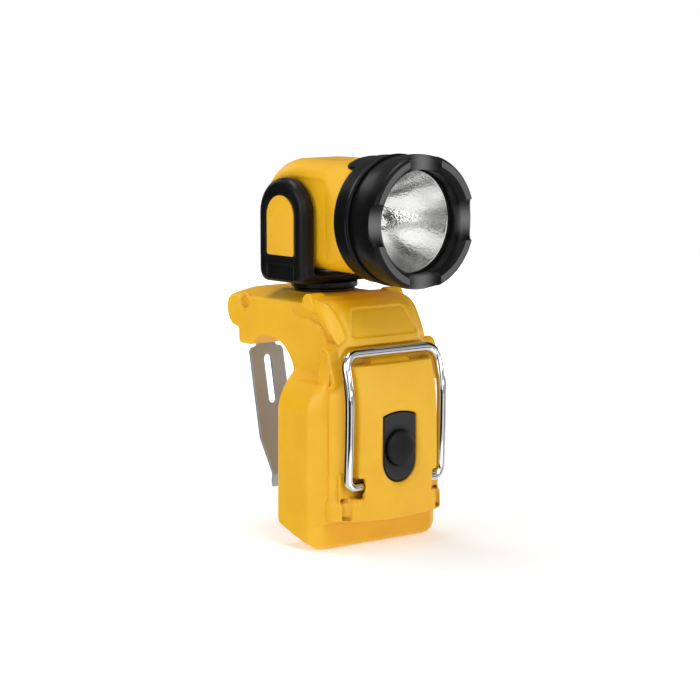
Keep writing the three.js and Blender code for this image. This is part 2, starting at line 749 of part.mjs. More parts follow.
function rearHousing(whole) {
  const shellForm = cut(whole, coverZone(0));
  const bay = box(-bayHalf, bayHalf, bayFront, doorFace - gap, bayLow, bayHigh);
  const doorway = frontal(rounded(mirrored([
    [doorHalf + gap, doorLow - gap, edge],
    [doorHalf + gap, doorHigh + gap, door.corner],
  ])), doorFace - gap, body.rear + overrun);
  const bayMouth = box(-bayHalf, bayHalf, bayFront, doorFace + edge, bayLow, bayHigh);
  const beamRoom = box(-body.beamHalf + wall * 2, body.beamHalf - wall * 2, midFront - overrun,
    hook.archBack + hook.archRadius * 0.55, archRise + hook.archRadius + wall, body.top - wall * 1.4);
  const cupRoom = box(-body.splitHalf + wall, body.splitHalf - wall, body.cupFront + wall, midFront, wall * 1.2, cover.lip + wall * 2);
  const spindleBore = rod(swivel.stem + slack, body.top - wall * 3, body.top + overrun, 'z', 0, swivel.back, 0);
  const hinge = doorHinge();
  const leafRoom = box(-catchLeaf.half - gap, catchLeaf.half + gap, doorFace, body.rear + overrun,
    doorHigh, doorHigh + catchLeaf.thickness + gap * 2);
  const dimples = bothSides((s) => rod(edge * 2.2, s > 0 ? body.beamHalf - ease * 2 : -body.beamHalf - overrun,
    s > 0 ? body.beamHalf + overrun : -body.beamHalf + ease * 2, 'x', 0, hook.endBack - edge * 3, body.top - hook.endRadius * 0.6, 20));
  const pilots = clipScrewSpots.map(([x, z]) => rod(clipScrew.shank + slack, clipFace - clipScrew.length - gap,
    clipFace + overrun, 'y', x, 0, z, 8));
  const seats = coverScrewSpots.map(([x, z]) => rod(coverScrew.head + slack, screwSeat, bayFront + overrun, 'y', x, 0, z, 12));
  return cut(shellForm, bay, bayMouth, doorway, beamRoom, flankCavity(), cupRoom, spindleBore, leafRoom, ...hinge.room,
    ...dimples, ...pilots, ...seats, ...coverPilots(), ...coverBosses(gap));
}

const clipScrewSpots = [-clip.screwSpread, clip.screwSpread].map((x) => [x, body.top - clip.screwDrop]);

// The door turns on a pin through knuckles at its lower edge
function doorHinge() {
  const [y, z] = [body.rear - door.knuckle, doorLow - door.knuckle + ease];
  const places = [-1, 1].map((s) => s * (body.footHalf - door.knuckleLength));
  const length = door.knuckleLength;
  const room = places.map((x) => rod(door.knuckle + gap, -length / 2 - gap, length / 2 + gap, 'x', x, y, z, 12));
  const slots = places.map((x) => box(x - length / 2 - gap, x + length / 2 + gap, y - door.knuckle - gap, body.rear + overrun,
    z, doorLow + door.knuckle));
  const lead = places.map((x) => box(x - length / 2 - gap, x + length / 2 + gap, y, body.rear + overrun,
    z - door.knuckle - gap, z));
  const pinRoom = rod(door.pin + slack * 0.4, -door.pinHalf - gap, door.pinHalf + gap, 'x', 0, y, z, 10);
  const pin = rod(door.pin, -door.pinHalf, door.pinHalf, 'x', 0, y, z, 10);
  const ledge = sideways([
    ...arc(y, z, door.knuckle, 0, quarter, fineSteps / 2),
    new THREE.Vector2(y, z + door.knuckle + overrun),
    new THREE.Vector2(y + overrun * 2, z + door.knuckle + overrun),
    new THREE.Vector2(y + overrun * 2, z),
  ], -doorHalf - gap, doorHalf + gap);
  const inner = places[1] - length / 2;
  const outer = places[1] + length / 2;
  const clear = [[-doorHalf - overrun, -outer], [-inner, inner], [outer, doorHalf + overrun]]
    .map(([x0, x1]) => rod(door.knuckle + gap, x0, x1, 'x', 0, y, z, 24));
  return { y, z, places, length, room: [...room, ...slots, ...lead, pinRoom, ledge], pin, clear };
}

function frontCover(whole) {
  const outer = cut(overlap(join(whole, panelForm(), ...flankRings(), ...knobs()), coverZone(gap)), underLip(gap));
  const shellForm = cut(outer, frontCavity(), ...bailRoom(), ...switchRoom(), nameplateRecess());
  const bosses = coverBosses().map((boss) => overlap(boss, join(coverForm(ease), panelForm(ease))));
  return cut(join(shellForm, ...bosses), ...coverPilots());
}

const whole = bodyForm();
piece('rear_housing', rearHousing(whole), yellow);
piece('front_cover', frontCover(whole), yellow);

// Battery compartment: door, hinge pin, carrier, cells, contact strips and catch
{
  const hinge = doorHinge();
  const panel = frontal(rounded(mirrored([
    [doorHalf, doorLow, edge],
    [doorHalf, doorHigh, door.corner],
  ])), doorFace, body.rear);
  const knuckles = hinge.places.map((x) => rod(
    door.knuckle, -hinge.length / 2, hinge.length / 2, 'x', x, hinge.y, hinge.z, 12));
  const arms = hinge.places.map((x) => box(
    x - hinge.length / 2, x + hinge.length / 2, doorFace, body.rear, hinge.z, doorLow + edge));
  const bore = rod(door.pin + slack * 0.4, -doorHalf, doorHalf, 'x', 0, hinge.y, hinge.z, 10);
  const grips = [-1, 0, 1].map((k) => rod(
    ease, -doorHalf / 3, doorHalf / 3, 'x', 0, body.rear + ease * 0.4, doorHigh - edge * 6 + k * edge * 2, 6));
  piece('battery_door', cut(join(cut(panel, ...hinge.clear), ...knuckles, ...arms), bore, ...grips), yellow);
  piece('hinge_pin', hinge.pin, zinc);
}
{
  const rows = Array.from({ length: cell.count }, (_, i) => (i - (cell.count - 1) / 2) * cell.pitch);
  const floorTop = cellFloor - strip.thickness - gap * 2;
  const roof = cellFloor + cell.length + cell.nubHeight + gap;
  const half = cellHalfSpan;
  const back = -cell.back + cell.radius;
  const front = -cell.back - cell.radius;
  const base = box(-half, half, front, back, floorTop - tray.wall, floorTop);
  const saddles = box(-half, half, front, front + tray.depth, floorTop - gap, floorTop + tray.depth * 1.5);
  const hollows = rows.map((x) => rod(cell.radius + gap, floorTop, roof, 'z', x, -cell.back, 0, 28));
  piece('cell_tray', join(base, cut(saddles, ...hollows)), black);
  rows.forEach((x, i) => {
    const up = i % 2 === 0;
    const profile = [
      [0, 0], [cell.radius - ease, 0], [cell.radius, ease], [cell.radius, cell.length - ease],
      [cell.radius - ease, cell.length], [cell.nub, cell.length], [cell.nub, cell.length + cell.nubHeight],
      [0, cell.length + cell.nubHeight],
    ].map(([r, t]) => [r, up ? t : cell.length + cell.nubHeight - t]);
    piece(`round_cell_${i + 1}`, turned(profile, 'z', x, -cell.back, cellFloor, 18), cellJacket);
  });
  const pad = strip.height / 2;
  [-1, 1].forEach((s) => {
    const [x0, x1] = [0, 1].map((k) => s * cell.pitch * (k + 0.5)).sort((p, q) => p - q);
    piece(s > 0 ? 'upper_contact_right' : 'upper_contact_left', box(x0 - pad, x1 + pad, -cell.back - pad, -cell.back + pad,
      roof, roof + strip.thickness), brass);
  });
  piece('lower_contact', box(-cell.pitch / 2 - pad, cell.pitch / 2 + pad, -cell.back - pad, -cell.back + pad,
    floorTop + gap, floorTop + gap + strip.thickness), brass);
}
{
  const low = doorHigh + gap;
  piece('catch_leaf', box(-catchLeaf.half, catchLeaf.half, doorFace + gap, body.rear - catchLeaf.inset, low,
    low + catchLeaf.thickness), zinc);
}

// Countersunk or pan head screw along Y, its head towards the rear
function screw(size, x, y, z) {
  const form = turned([
    [0, -size.length], [size.shank * 0.5, -size.length], [size.shank, -size.length + size.shank],
    [size.shank, 0], [size.head, 0], [size.head, size.headHeight * 0.6], [size.head * 0.7, size.headHeight],
    [0, size.headHeight],
  ], 'y', x, y, z, 10);
  const driveRoom = rod(size.drive, size.headHeight - size.driveDepth, size.headHeight + overrun, 'y', x, y, z, 6);
  return cut(form, driveRoom);
}

coverScrewSpots.forEach(([x, z], i) => piece(`cover_screw_${i + 1}`, screw(coverScrew, x, screwSeat + gap, z), zinc));

// Belt clip: side outline of the bent strap, trimmed to its front outline
{
  const face = clipFace;
  const t = clip.thickness;
  const low = face - clip.lean;
  const top = body.top - clip.topDrop;
  const bend = body.top - clip.bendDrop;
  const tipBend = bend - clip.leg;
  const tip = tipBend - clip.tipLength;
  const neck = body.top - clip.neckDrop;
  const slotTop = bend - clip.slotDrop;
  const line = (offset) => [
    new THREE.Vector2(face + offset, top),
    new THREE.Vector2(face + offset, bend + edge),
    new THREE.Vector2(face + offset - ease * 0.3, bend - edge),
    new THREE.Vector2(low + offset + ease * 0.3, tipBend + edge),
    new THREE.Vector2(low + offset, tipBend),
    new THREE.Vector2(low + offset + clip.flare, tip),
  ];
  const strap = sideways([...line(0), ...line(t).reverse()], -clip.topHalf, clip.topHalf);
  const front = rounded(mirrored([
    [clip.tipHalf * 0.55, tip - edge, edge * 2],
    [clip.tipHalf, tip + edge * 2.5, edge],
    [clip.tipHalf + ease, tipBend + edge, edge],
    [clip.half, tipBend + clip.taper, edge * 4],
    [clip.half, neck - clip.neckHeight * 0.75, edge * 1.8],
    [clip.neckHalf, neck - clip.neckHeight * 0.6, edge * 0.8],
    [clip.neckHalf, neck + clip.neckHeight, edge],
    [clip.topHalf, neck + clip.neckHeight, edge * 2],
    [clip.topHalf, top, edge * 2],
  ]), 4);
  const slot = frontal(capsule([0, slotTop - clip.slotLength + clip.slotHalf], [0, slotTop - clip.slotHalf],
    clip.slotHalf), low - overrun, face + overrun);
  const holes = clipScrewSpots.map(([x, z]) => rod(clipScrew.shank + slack, face - overrun, face + overrun, 'y', x, 0, z, 16));
  piece('belt_clip', cut(overlap(strap, frontal(front, low - overrun, face + overrun)), slot, ...holes), satinSteel);
  clipScrewSpots.forEach(([x, z], i) => piece(`clip_screw_${i + 1}`, screw(clipScrew, x, face + t + gap, z), zinc));
}

// Wire bail: one bent wire from foot to foot
{
  const legTop = bailTop - bail.topCorner;
  const legLow = bail.pivotRise + bail.footCorner;
  const lean = (z) => {
    const up = (z - bail.pivotRise) / (bailTop - bail.pivotRise);
    return -bail.pivotFront - bail.bow * Math.sin(Math.PI * Math.min(up * 0.8, 1)) + bail.setBack * Math.max(0, up - 0.62) / 0.38;
  };
  const side = [
    ...arc(bail.half - bail.footCorner, legLow, bail.footCorner, -quarter, 0, 6),
    ...[0.25, 0.5, 0.75].map((k) => new THREE.Vector2(bail.half, legLow + (legTop - legLow) * k)),
    ...arc(bail.half - bail.topCorner, legTop, bail.topCorner, 0, quarter, 6),
  ];
  const half = [new THREE.Vector2(bail.foot, bail.pivotRise), ...side];
  const whole3 = [
    ...half.slice().map((p) => new THREE.Vector3(p.x, lean(p.y), p.y)),
    ...half.slice().reverse().map((p) => new THREE.Vector3(-p.x, lean(p.y), p.y)),
  ];
  const path = new THREE.CatmullRomCurve3(whole3, false, 'centripetal');
  const ring = new THREE.Shape(arc(0, 0, bail.wire, 0, tau * 0.875, 7));
  piece('wire_bail', solid(new THREE.ExtrudeGeometry(ring, { extrudePath: path, steps: 48, bevelEnabled: false })), chrome);
}

// Switch: plate, domed button, micro switch and its board
{
  const plate = frontal(plateOutline(0), plateFace, plateBack, ease * 0.6);
  const hole = rod(toggle.dome + slack, plateFace - overrun, plateBack + overrun, 'y', 0, 0, toggle.centre, roundSteps);
  const seat = rod(toggle.flange + gap, plateBack - ease, plateBack + overrun, 'y', 0, 0, toggle.centre, roundSteps);
  piece('switch_plate', cut(plate, hole), darkGrey);
  const rimY = plateFace - ease;
  const crown = plateFace - toggle.domeProud;
  const behind = plateBack + gap;
  const stemEnd = behind + toggle.flangeThickness + toggle.stemLength;
  const dome = arc(0, 0, 1, quarter, 0, 6).map((p) => [toggle.dome * p.x, rimY + (crown - rimY) * p.y]);
  const profile = [
    ...dome, [toggle.dome, behind], [toggle.flange, behind], [toggle.flange, behind + toggle.flangeThickness],
    [toggle.stem, behind + toggle.flangeThickness], [toggle.stem, stemEnd], [0, stemEnd],
  ];
  piece('switch_button', turned(profile, 'y', 0, 0, toggle.centre, 24), rubber);
  const plungerFront = stemEnd + gap;
  const bodyFront = plungerFront + toggle.travel + gap;
  const plungerEnd = bodyFront + microSwitch.plungerSink;
  const well = rod(microSwitch.plunger + slack, bodyFront - overrun, plungerEnd + toggle.travel + gap, 'y', 0, 0,
    toggle.centre, 16);
  piece('micro_switch', cut(box(-microSwitch.half, microSwitch.half, bodyFront, boardFront - gap,
    toggle.centre - microSwitch.height / 2, toggle.centre + microSwitch.height / 2), well), black);
  piece('switch_plunger', rod(microSwitch.plunger, plungerFront, plungerEnd, 'y', 0, 0, toggle.centre, 16), nylon);
  piece('circuit_board', box(-board.half, board.half, boardFront, boardFront + board.thickness, board.low, board.high),
    boardGreen);
}

// Swivel: steel washer and turntable under the yoke, held down by a hollow spindle
const swivelRing = (inner, outer, from, to, steps = roundSteps) =>
  tube(inner, outer, from, to, 'z', 0, swivel.back, 0, steps);
{
  const bore = swivel.stem + slack;
  piece('swivel_washer', swivelRing(bore, swivel.washer, body.top + gap, washerTop), satinSteel);
  piece('turntable', turned([
    [bore, washerTop + gap], [swivel.disc - ease, washerTop + gap], [swivel.disc, washerTop + gap + ease],
    [swivel.disc, discTop - ease], [swivel.disc - ease, discTop], [bore, discTop], [bore, washerTop + gap],
  ], 'z', 0, swivel.back, 0), black);
  const roof = body.top - wall * 1.4;
  const groove = swivel.stem - edge * 0.7;
  const waveTop = roof - gap;
  const waveLow = waveTop - swivel.waveThickness;
  const ringTop = waveLow - gap;
  const ringLow = ringTop - swivel.ringThickness;
  const low = body.top - swivel.stemDepth;
  const seat = yokeTop + gap;
  piece('swivel_spindle', turned([
    [swivel.bore, low], [swivel.stem, low], [swivel.stem, ringLow - slack], [groove, ringLow - slack],
    [groove, ringTop + slack], [swivel.stem, ringTop + slack], [swivel.stem, seat], [swivel.collar, seat],
    [swivel.collar, seat + swivel.collarThickness - ease], [swivel.collar - ease, seat + swivel.collarThickness],
    [swivel.bore, seat + swivel.collarThickness], [swivel.bore, low],
  ], 'z', 0, swivel.back, 0, 20), zinc);
  piece('retaining_ring', swivelRing(groove + slack, swivel.ring, ringLow, ringTop, 20), zinc);
  piece('spring_washer', turned([
    [bore, waveLow], [bore + ease, waveLow], [swivel.ring + edge, waveTop - ease], [swivel.ring + edge, waveTop],
    [swivel.ring + ease, waveTop], [bore, waveLow + ease], [bore, waveLow],
  ], 'z', 0, swivel.back, 0, 20), satinSteel);
}

// Yoke: a U whose arms carry the pivot pins behind bare label plates
const labelSeat = yoke.armOuter - yoke.labelThickness - gap;
const pinHead = labelSeat - gap;
const pinSeat = pinHead - pivot.headLength;
const labelOutline = (grow) => [
  ...rounded([
    [swivel.back - yoke.labelHalf - grow, tiltRise + yoke.labelRise - yoke.labelHalf, 0],
    [swivel.back - yoke.labelHalf - grow, tiltRise - yoke.labelDrop - grow, edge],
    [swivel.back + yoke.labelHalf + grow, tiltRise - yoke.labelDrop - grow, edge],
    [swivel.back + yoke.labelHalf + grow, tiltRise + yoke.labelRise - yoke.labelHalf, 0],
  ], 3),
  ...arc(swivel.back, tiltRise + yoke.labelRise - yoke.labelHalf, yoke.labelHalf + grow, 0, Math.PI).slice(1, -1),
];
{
  const [near, far] = [swivel.back - yoke.armHalf, swivel.back + yoke.armHalf];
  const outline = [
    ...rounded([
      [near, tiltRise, 0], [near, yokeFloor, yoke.footRound], [far, yokeFloor, yoke.footRound], [far, tiltRise, 0],
    ]),
    ...arc(swivel.back, tiltRise, yoke.armHalf, 0, Math.PI, 16).slice(1, -1),
  ];
  const throat = frontal(rounded(mirrored([
    [yoke.armInner, yokeTop, yoke.throatRound],
    [yoke.armInner, tiltRise + yoke.armHalf + overrun, 0],
  ])), near - overrun, far + overrun);
  const recesses = [
    sideways(labelOutline(gap), labelSeat, yoke.armOuter + overrun),
    sideways(labelOutline(gap), -yoke.armOuter - overrun, -labelSeat),
  ];
  const holes = rod(pivot.radius + slack * 0.4, -yoke.armOuter, yoke.armOuter, 'x', 0, swivel.back, tiltRise);
  const seats = [
    rod(pivot.headRadius + gap, pinSeat - gap, yoke.armOuter, 'x', 0, swivel.back, tiltRise),
    rod(pivot.headRadius + gap, -yoke.armOuter, -pinSeat + gap, 'x', 0, swivel.back, tiltRise),
  ];
  const centre = rod(swivel.stem + slack * 0.4, yokeFloor - overrun, yokeTop + overrun, 'z', 0, swivel.back, 0);
  piece('yoke', cut(sideways(outline, -yoke.armOuter, yoke.armOuter, yoke.armRound), throat, ...recesses, holes, ...seats,
    centre), black);
}
for (const [side, s] of [['left', -1], ['right', 1]]) {
  const flip = (from, to) => (s > 0 ? [from, to] : [-to, -from]);
  piece(`label_plate_${side}`, sideways(labelOutline(0), ...flip(labelSeat + gap, yoke.armOuter)), yellow);
  const pin = turned([
    [0, yoke.armInner - pivot.reachIn], [pivot.radius - ease, yoke.armInner - pivot.reachIn],
    [pivot.radius, yoke.armInner - pivot.reachIn + ease], [pivot.radius, pinSeat], [pivot.headRadius, pinSeat],
    [pivot.headRadius, pinHead], [0, pinHead],
  ].map(([r, t]) => [r, s * t]), 'x', 0, swivel.back, tiltRise, 18);
  piece(`pivot_pin_${side}`, pin, zinc);
  const middle = (yoke.armInner + head.half) / 2;
  piece(`tilt_washer_${side}`, tube(pivot.radius + slack, pivot.washerOuter,
    ...flip(middle - pivot.washerThickness / 2, middle + pivot.washerThickness / 2), 'x', 0, swivel.back, tiltRise, 20), nylon);
}

// Head: places along the barrel axis, as distances in front of the origin
const collarRear = head.mouth + gap * 2;
const collarFront = collarRear + collar.length;
const bezelRear = collarFront + gap;
const bezelFront = bezelRear + bezel.length;
const lensSeat = bezelFront - bezel.lipDepth - bezel.lipThickness;
const lensRear = lensSeat - gap - lens.thickness;
const gasketRear = lensRear - gap - gasket.thickness;
const rimFront = gasketRear - gap;
const rimRear = rimFront - reflector.flange;
const spigotFront = rimRear - gap;
const throatPlace = rimFront - reflector.depth;
const neckRear = throatPlace - reflector.neck;
const barrel = (profile, steps = 36) => turned(profile.map(([r, front]) => [r, -front]), 'y', 0, 0, barrelRise, steps);
const barrelRod = (radius, from, to, steps = 36) => barrel([[0, from], [radius, from], [radius, to], [0, to]], steps);

function headLoft(inset) {
  const ring = (y, half, low, high, corner) => rounded(mirrored([[half, low, corner], [half, high, corner]]), 6)
    .map((p) => new THREE.Vector3(p.x, y, p.y));
  const shares = headShares.filter(({ back }, i) => inset === 0 || (back < 0.9 && i % 2 === 0));
  const rings = shares.map(({ back, half, up, down, corner }) => ring(
    swivel.back + head.radius * back - (inset > 0 && back > 0.6 ? inset : 0),
    head.half * half - inset,
    tiltRise - head.radius * down + inset,
    tiltRise + head.radius * up - inset,
    Math.max(head.radius * corner - inset, ease)));
  const last = headShares[headShares.length - 1];
  const start = swivel.back + head.radius * last.back;
  for (const share of inset > 0 ? [0.5, 1] : [0.25, 0.5, 0.75, 1]) {
    const mix = (a, b) => THREE.MathUtils.lerp(a, b, share * share * (3 - 2 * share));
    const mouth = inset > 0 ? head.bore : head.mouthRadius;
    rings.push(ring(
      start + (-head.mouth - start) * share,
      mix(head.half * last.half - inset, mouth),
      mix(tiltRise - head.radius * last.down + inset, barrelRise - mouth),
      mix(tiltRise + head.radius * last.up - inset, barrelRise + mouth),
      mix(head.radius * last.corner - inset, mouth * 0.995)));
  }
  return loft(rings);
}
{
  const spigot = barrelRod(head.spigot, head.mouth - wall, spigotFront);
  const holes = rod(pivot.radius + slack, -head.half - overrun, head.half + overrun, 'x', 0, swivel.back, tiltRise);
  const slot = box(-head.wireSlotHalf, head.wireSlotHalf, swivel.back - head.wireSlotLength / 2,
    swivel.back + head.wireSlotLength / 2, tiltRise - head.radius - overrun, tiltRise - head.radius * 0.7);
  piece('head_housing', cut(join(headLoft(0), spigot), headLoft(head.wall),
    barrelRod(head.bore, head.mouth - ease, spigotFront + overrun), holes, slot), yellow);

  const inner = head.spigot + slack;
  const grooveAt = collarRear + collar.length * 0.6;
  const ring = barrel([
    [inner, collarRear], [collar.radius - collar.lip, collarRear], [collar.radius, collarRear + collar.lip],
    [collar.radius, grooveAt], [collar.radius - collar.groove, grooveAt],
    [collar.radius - collar.groove, grooveAt + collar.grooveWidth], [collar.radius - ease, grooveAt + collar.grooveWidth],
    [collar.radius - collar.lip, collarFront], [inner, collarFront], [inner, collarRear],
  ]);
  const tabLow = barrelRise + head.mouthRadius + gap;
  const lug = box(-tab.half, tab.half, -collarRear - ease, -collarRear + tab.length, tabLow, tabLow + tab.thickness);
  piece('collar_ring', join(ring, lug), black);

  const ringForm = barrel([
    [inner, bezelRear], [bezel.rearRadius - ease, bezelRear], [bezel.rearRadius, bezelRear + ease],
    [bezel.frontRadius, bezelFront - bezel.flare], [bezel.frontRadius, bezelFront - bezel.frontEdge * 1.5],
    [bezel.frontRadius - bezel.frontEdge * 0.3, bezelFront - bezel.frontEdge * 0.55],
    [bezel.frontRadius - bezel.frontEdge, bezelFront], [bezel.faceRadius, bezelFront],
    [bezel.lip + edge, bezelFront - bezel.lipDepth + ease], [bezel.lip, bezelFront - bezel.lipDepth],
    [bezel.lip, lensSeat], [bezel.bore, lensSeat], [bezel.bore, spigotFront + gap], [inner, spigotFront + gap],
    [inner, bezelRear],
  ]);
  const [near, far] = [bezel.lip - bezel.lipDepth, bezel.frontRadius + overrun];
  const scoop = [
    new THREE.Vector2(-bezelFront + bezel.notchDepth + bezel.notchScoop, near),
    new THREE.Vector2(-bezelFront + bezel.notchDepth, far),
    new THREE.Vector2(-bezelFront - overrun, far),
    new THREE.Vector2(-bezelFront - overrun, near),
  ];
  const notches = Array.from({ length: bezel.notches }, (_, i) => solid(
    extrude(scoop, bezel.notchChord).applyMatrix4(across).translate(-bezel.notchChord / 2, 0, 0)
      .rotateY((tau * i) / bezel.notches).translate(0, 0, barrelRise)));
  piece('bezel', cut(ringForm, ...notches), black);

  piece('lens', barrel([[0, lensRear], [lens.radius, lensRear], [lens.radius, lensRear + lens.thickness],
    [bezel.lip - ease, lensRear + lens.thickness], [bezel.lip * 0.6, lensRear + lens.thickness + lens.dome * 0.7],
    [0, lensRear + lens.thickness + lens.dome]], 32), clear);
  piece('lens_gasket', barrel([[gasket.inner, gasketRear], [lens.radius, gasketRear],
    [lens.radius, gasketRear + gasket.thickness], [gasket.inner, gasketRear + gasket.thickness],
    [gasket.inner, gasketRear]], 32), rubber);

  const dish = (thickness) => Array.from({ length: dishSteps + 1 }, (_, i) => {
    const rise = (i / dishSteps) ** 2;
    return [Math.sqrt(reflector.throat ** 2 + (reflector.rim ** 2 - reflector.throat ** 2) * rise) + thickness,
      throatPlace + reflector.depth * rise];
  });
  const outerDish = dish(reflector.thickness).slice(0, -1).filter(([, front]) => front < rimRear - ease);
  piece('reflector', barrel([
    [reflector.throat, neckRear], [reflector.throat + reflector.thickness, neckRear], ...outerDish,
    [reflector.rim + reflector.thickness * 0.6, rimRear], [lens.radius, rimRear], [lens.radius, rimFront],
    ...dish(0).reverse(), [reflector.throat, neckRear],
  ], 28), silver);

  const cupInner = reflector.throat + reflector.thickness + gap;
  const holderRear = neckRear - gap - holder.length;
  const socket = bulb.base + gap;
  const face = neckRear - gap;
  piece('lamp_holder', barrel([
    [0, holderRear], [holder.radius - edge, holderRear], [holder.radius, holderRear + edge],
    [holder.radius, face + holder.cup], [cupInner, face + holder.cup], [cupInner, face], [socket, face],
    [socket, face - bulb.baseLength - gap], [0, face - bulb.baseLength - gap],
  ], 20), black);
  const bulbRear = face - bulb.baseLength;
  const glass = face + gap;
  piece('bulb', barrel([
    [0, bulbRear], [bulb.base, bulbRear], [bulb.base, glass], [bulb.radius, glass + ease],
    [bulb.radius, glass + bulb.length * 0.75], [bulb.radius * 0.7, glass + bulb.length * 0.93],
    [0, glass + bulb.length],
  ], 20), clear);
}

light.name = 'work_light';
export default light;
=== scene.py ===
"""Looks for the pivoting-head work light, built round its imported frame.

The file is laid out as an add-on with one operator for each group of pieces, and is run as a script.
Shapes are worked out in millimetres and made in metres, in the frame of the CAD model.
"""

import math

import bmesh
import bpy
import numpy as np
from mathutils import Matrix, Vector


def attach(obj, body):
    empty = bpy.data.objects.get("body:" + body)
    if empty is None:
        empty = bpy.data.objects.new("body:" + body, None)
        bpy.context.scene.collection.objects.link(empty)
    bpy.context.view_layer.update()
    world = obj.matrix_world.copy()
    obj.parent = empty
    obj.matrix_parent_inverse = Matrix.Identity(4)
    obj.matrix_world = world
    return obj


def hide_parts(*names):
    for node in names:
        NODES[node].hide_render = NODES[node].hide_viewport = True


bl_info = {
    "name": "Pivoting work light",
    "version": (1, 0, 0),
    "blender": (4, 5, 0),
    "location": "3D View > Sidebar > Work light",
    "description": "Builds the moulded, metal and glass pieces of a pivoting-head work light",
    "category": "Object",
}

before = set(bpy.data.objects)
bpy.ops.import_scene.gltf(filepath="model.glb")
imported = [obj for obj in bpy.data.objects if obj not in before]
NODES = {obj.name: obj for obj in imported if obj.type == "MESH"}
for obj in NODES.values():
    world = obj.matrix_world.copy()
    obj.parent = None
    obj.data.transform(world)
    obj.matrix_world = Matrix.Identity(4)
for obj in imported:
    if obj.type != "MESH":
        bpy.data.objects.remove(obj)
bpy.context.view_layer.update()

MM = 0.001
QUARTER = math.pi / 2
TAU = math.pi * 2

# Sizes that the pieces share with the CAD model, in millimetres
GAP = 0.3
SEAM = -0.1
WALL = 2.4
OVERRUN = 4.0
EDGE = 1.2

BEAM_HALF = 25.0
CASE_HALF = 36.0
CASE_REAR = 5.0
BODY_TOP = 107.6
CASE_TOP = 60.0
SHOULDER = 17.0
BEVEL_FRONT = -17.0
SPLIT_FRONT = -23.2
SPLIT_HALF = 30.6
CUP_FRONT = -21.0
BOTTOM_ROUND = 6.0
BEVEL_ROUND = 4.0
CORNER_ROUND = 3.0
CROWN_DROP = 3.6
CROWN_HALF = 13.0
FOOT_HALF = 23.5

ARCH_RADIUS = 18.3
ARCH_BACK = 23.4
LIP_REAR = 44.5
LIP_BOTTOM = 83.04
ARCH_RISE = 69.94
END_BACK = 43.5
END_RADIUS = 9.2
END_RISE = BODY_TOP - END_RADIUS
TUCK_RISE = 91.04
PAD_DEPTH = 3.1
PAD_HALF = 19.0

COVER_LIP = 12.2
COVER_HALF = 30.6
COVER_FRONT = 31.6
COVER_CORNER = 13.0
PANEL_HALF = 23.4
PANEL_PROUD = 5.8
PANEL_REAR = 20.0
PANEL_TOP = 79.8
CHANNEL_TOP = 87.4
CHANNEL_DEPTH = 25.4
SPLIT_TOP = 104.0
SPLIT_BACK = 6.0
FLARE_BACK = -12.0

BAIL_WIRE = 2.1
BAIL_HALF = 26.0
BAIL_PIVOT_RISE = 28.2
BAIL_PIVOT_FRONT = 32.0
BAIL_TOP = 84.9
BAIL_FOOT = 16.6

PLATE_HALF = 8.8
PLATE_TOP = 58.8
PLATE_ARCH = 1.6
PLATE_BOTTOM = 29.2
PLATE_SEAM = 0.5
PLATE_RECESS = 1.6
PLATE_THICKNESS = 2.2
BUTTON_RISE = 43.6
BUTTON_DOME = 7.7
PANEL_FACE = -COVER_FRONT - PANEL_PROUD
PLATE_FACE = PANEL_FACE + PLATE_RECESS
PLATE_BACK = PLATE_FACE + PLATE_THICKNESS

SWIVEL_BACK = 15.0
TILT_RISE = 141.7
BARREL_RISE = 141.0
YOKE_FLOOR = 112.0
YOKE_TOP = 115.8
ARM_OUTER = 25.0
ARM_INNER = 18.6
ARM_HALF = 15.8
LABEL_HALF = 9.1
LABEL_DROP = 17.8

HEAD_HALF = 17.6
HEAD_RADIUS = 23.7
HEAD_MOUTH = 23.2
MOUTH_RADIUS = 24.9
SPIGOT = 24.2
COLLAR_REAR = 23.8
COLLAR_FRONT = 34.2
BEZEL_FRONT = 51.9

MID_FRONT = -17.01
BAY_HALF = 30.05
BAY_FRONT = -13.65
BAY_LOW = 14.0
BAY_HIGH = 68.5
DOOR_HALF = 31.65
DOOR_LOW = 13.6
DOOR_HIGH = 70.1
DOOR_FACE = 2.4
DOOR_HINGE = (0, 2.9, 12.1)
HINGE_KNUCKLES = (-14.5, 14.5)
COVER_SCREWS = ((-25.6, 24.0), (-25.6, 61.0), (25.6, 24.0), (25.6, 61.0))
CLIP_FACE = 56.1
CLIP_SCREWS = (-6.2, 6.2)
CLIP_SCREW_RISE = 97.5
HOOK_DIMPLE = (0, 39.8, 101.6)

DISH_THROAT = 4.4
DISH_RIM = 21.6
DISH_REAR = 16.2
DISH_DEPTH = 25
LENS_RADIUS = 22.6

MOULDED_IOR = 1.53
GROOVE_SAMPLES = 6


# Outlines

def arc(u, v, radius, start, end, steps=24):
    """Points of an arc in a plane."""
    return [(u + radius * math.cos(a), v + radius * math.sin(a)) for a in np.linspace(start, end, steps + 1)]


def rounded(corners, steps=8):
    """A closed outline whose corners (u, v, radius) are turned into arcs."""
    count = len(corners)

    def room(i):
        return 0.49 if corners[i % count][2] > 0 else 0.96

    made = []
    for i, (u, v, radius) in enumerate(corners):
        here = Vector((u, v))
        if radius == 0:
            made.append((u, v))
            continue
        before = Vector(corners[i - 1][:2]) - here
        after = Vector(corners[(i + 1) % count][:2]) - here
        half = before.angle(after) / 2
        reach = min(radius / math.tan(half), before.length * room(i - 1), after.length * room(i + 1))
        swing = reach * math.tan(half)
        start = here + before.normalized() * reach
        end = here + after.normalized() * reach
        centre = here + (before.normalized() + after.normalized()).normalized() * (swing / math.sin(half))
        first = math.atan2(start.y - centre.y, start.x - centre.x)
        turn = math.atan2(end.y - centre.y, end.x - centre.x) - first
        turn = (turn + math.pi) % TAU - math.pi
        made += arc(centre.x, centre.y, swing, first, first + turn, steps)
    return made


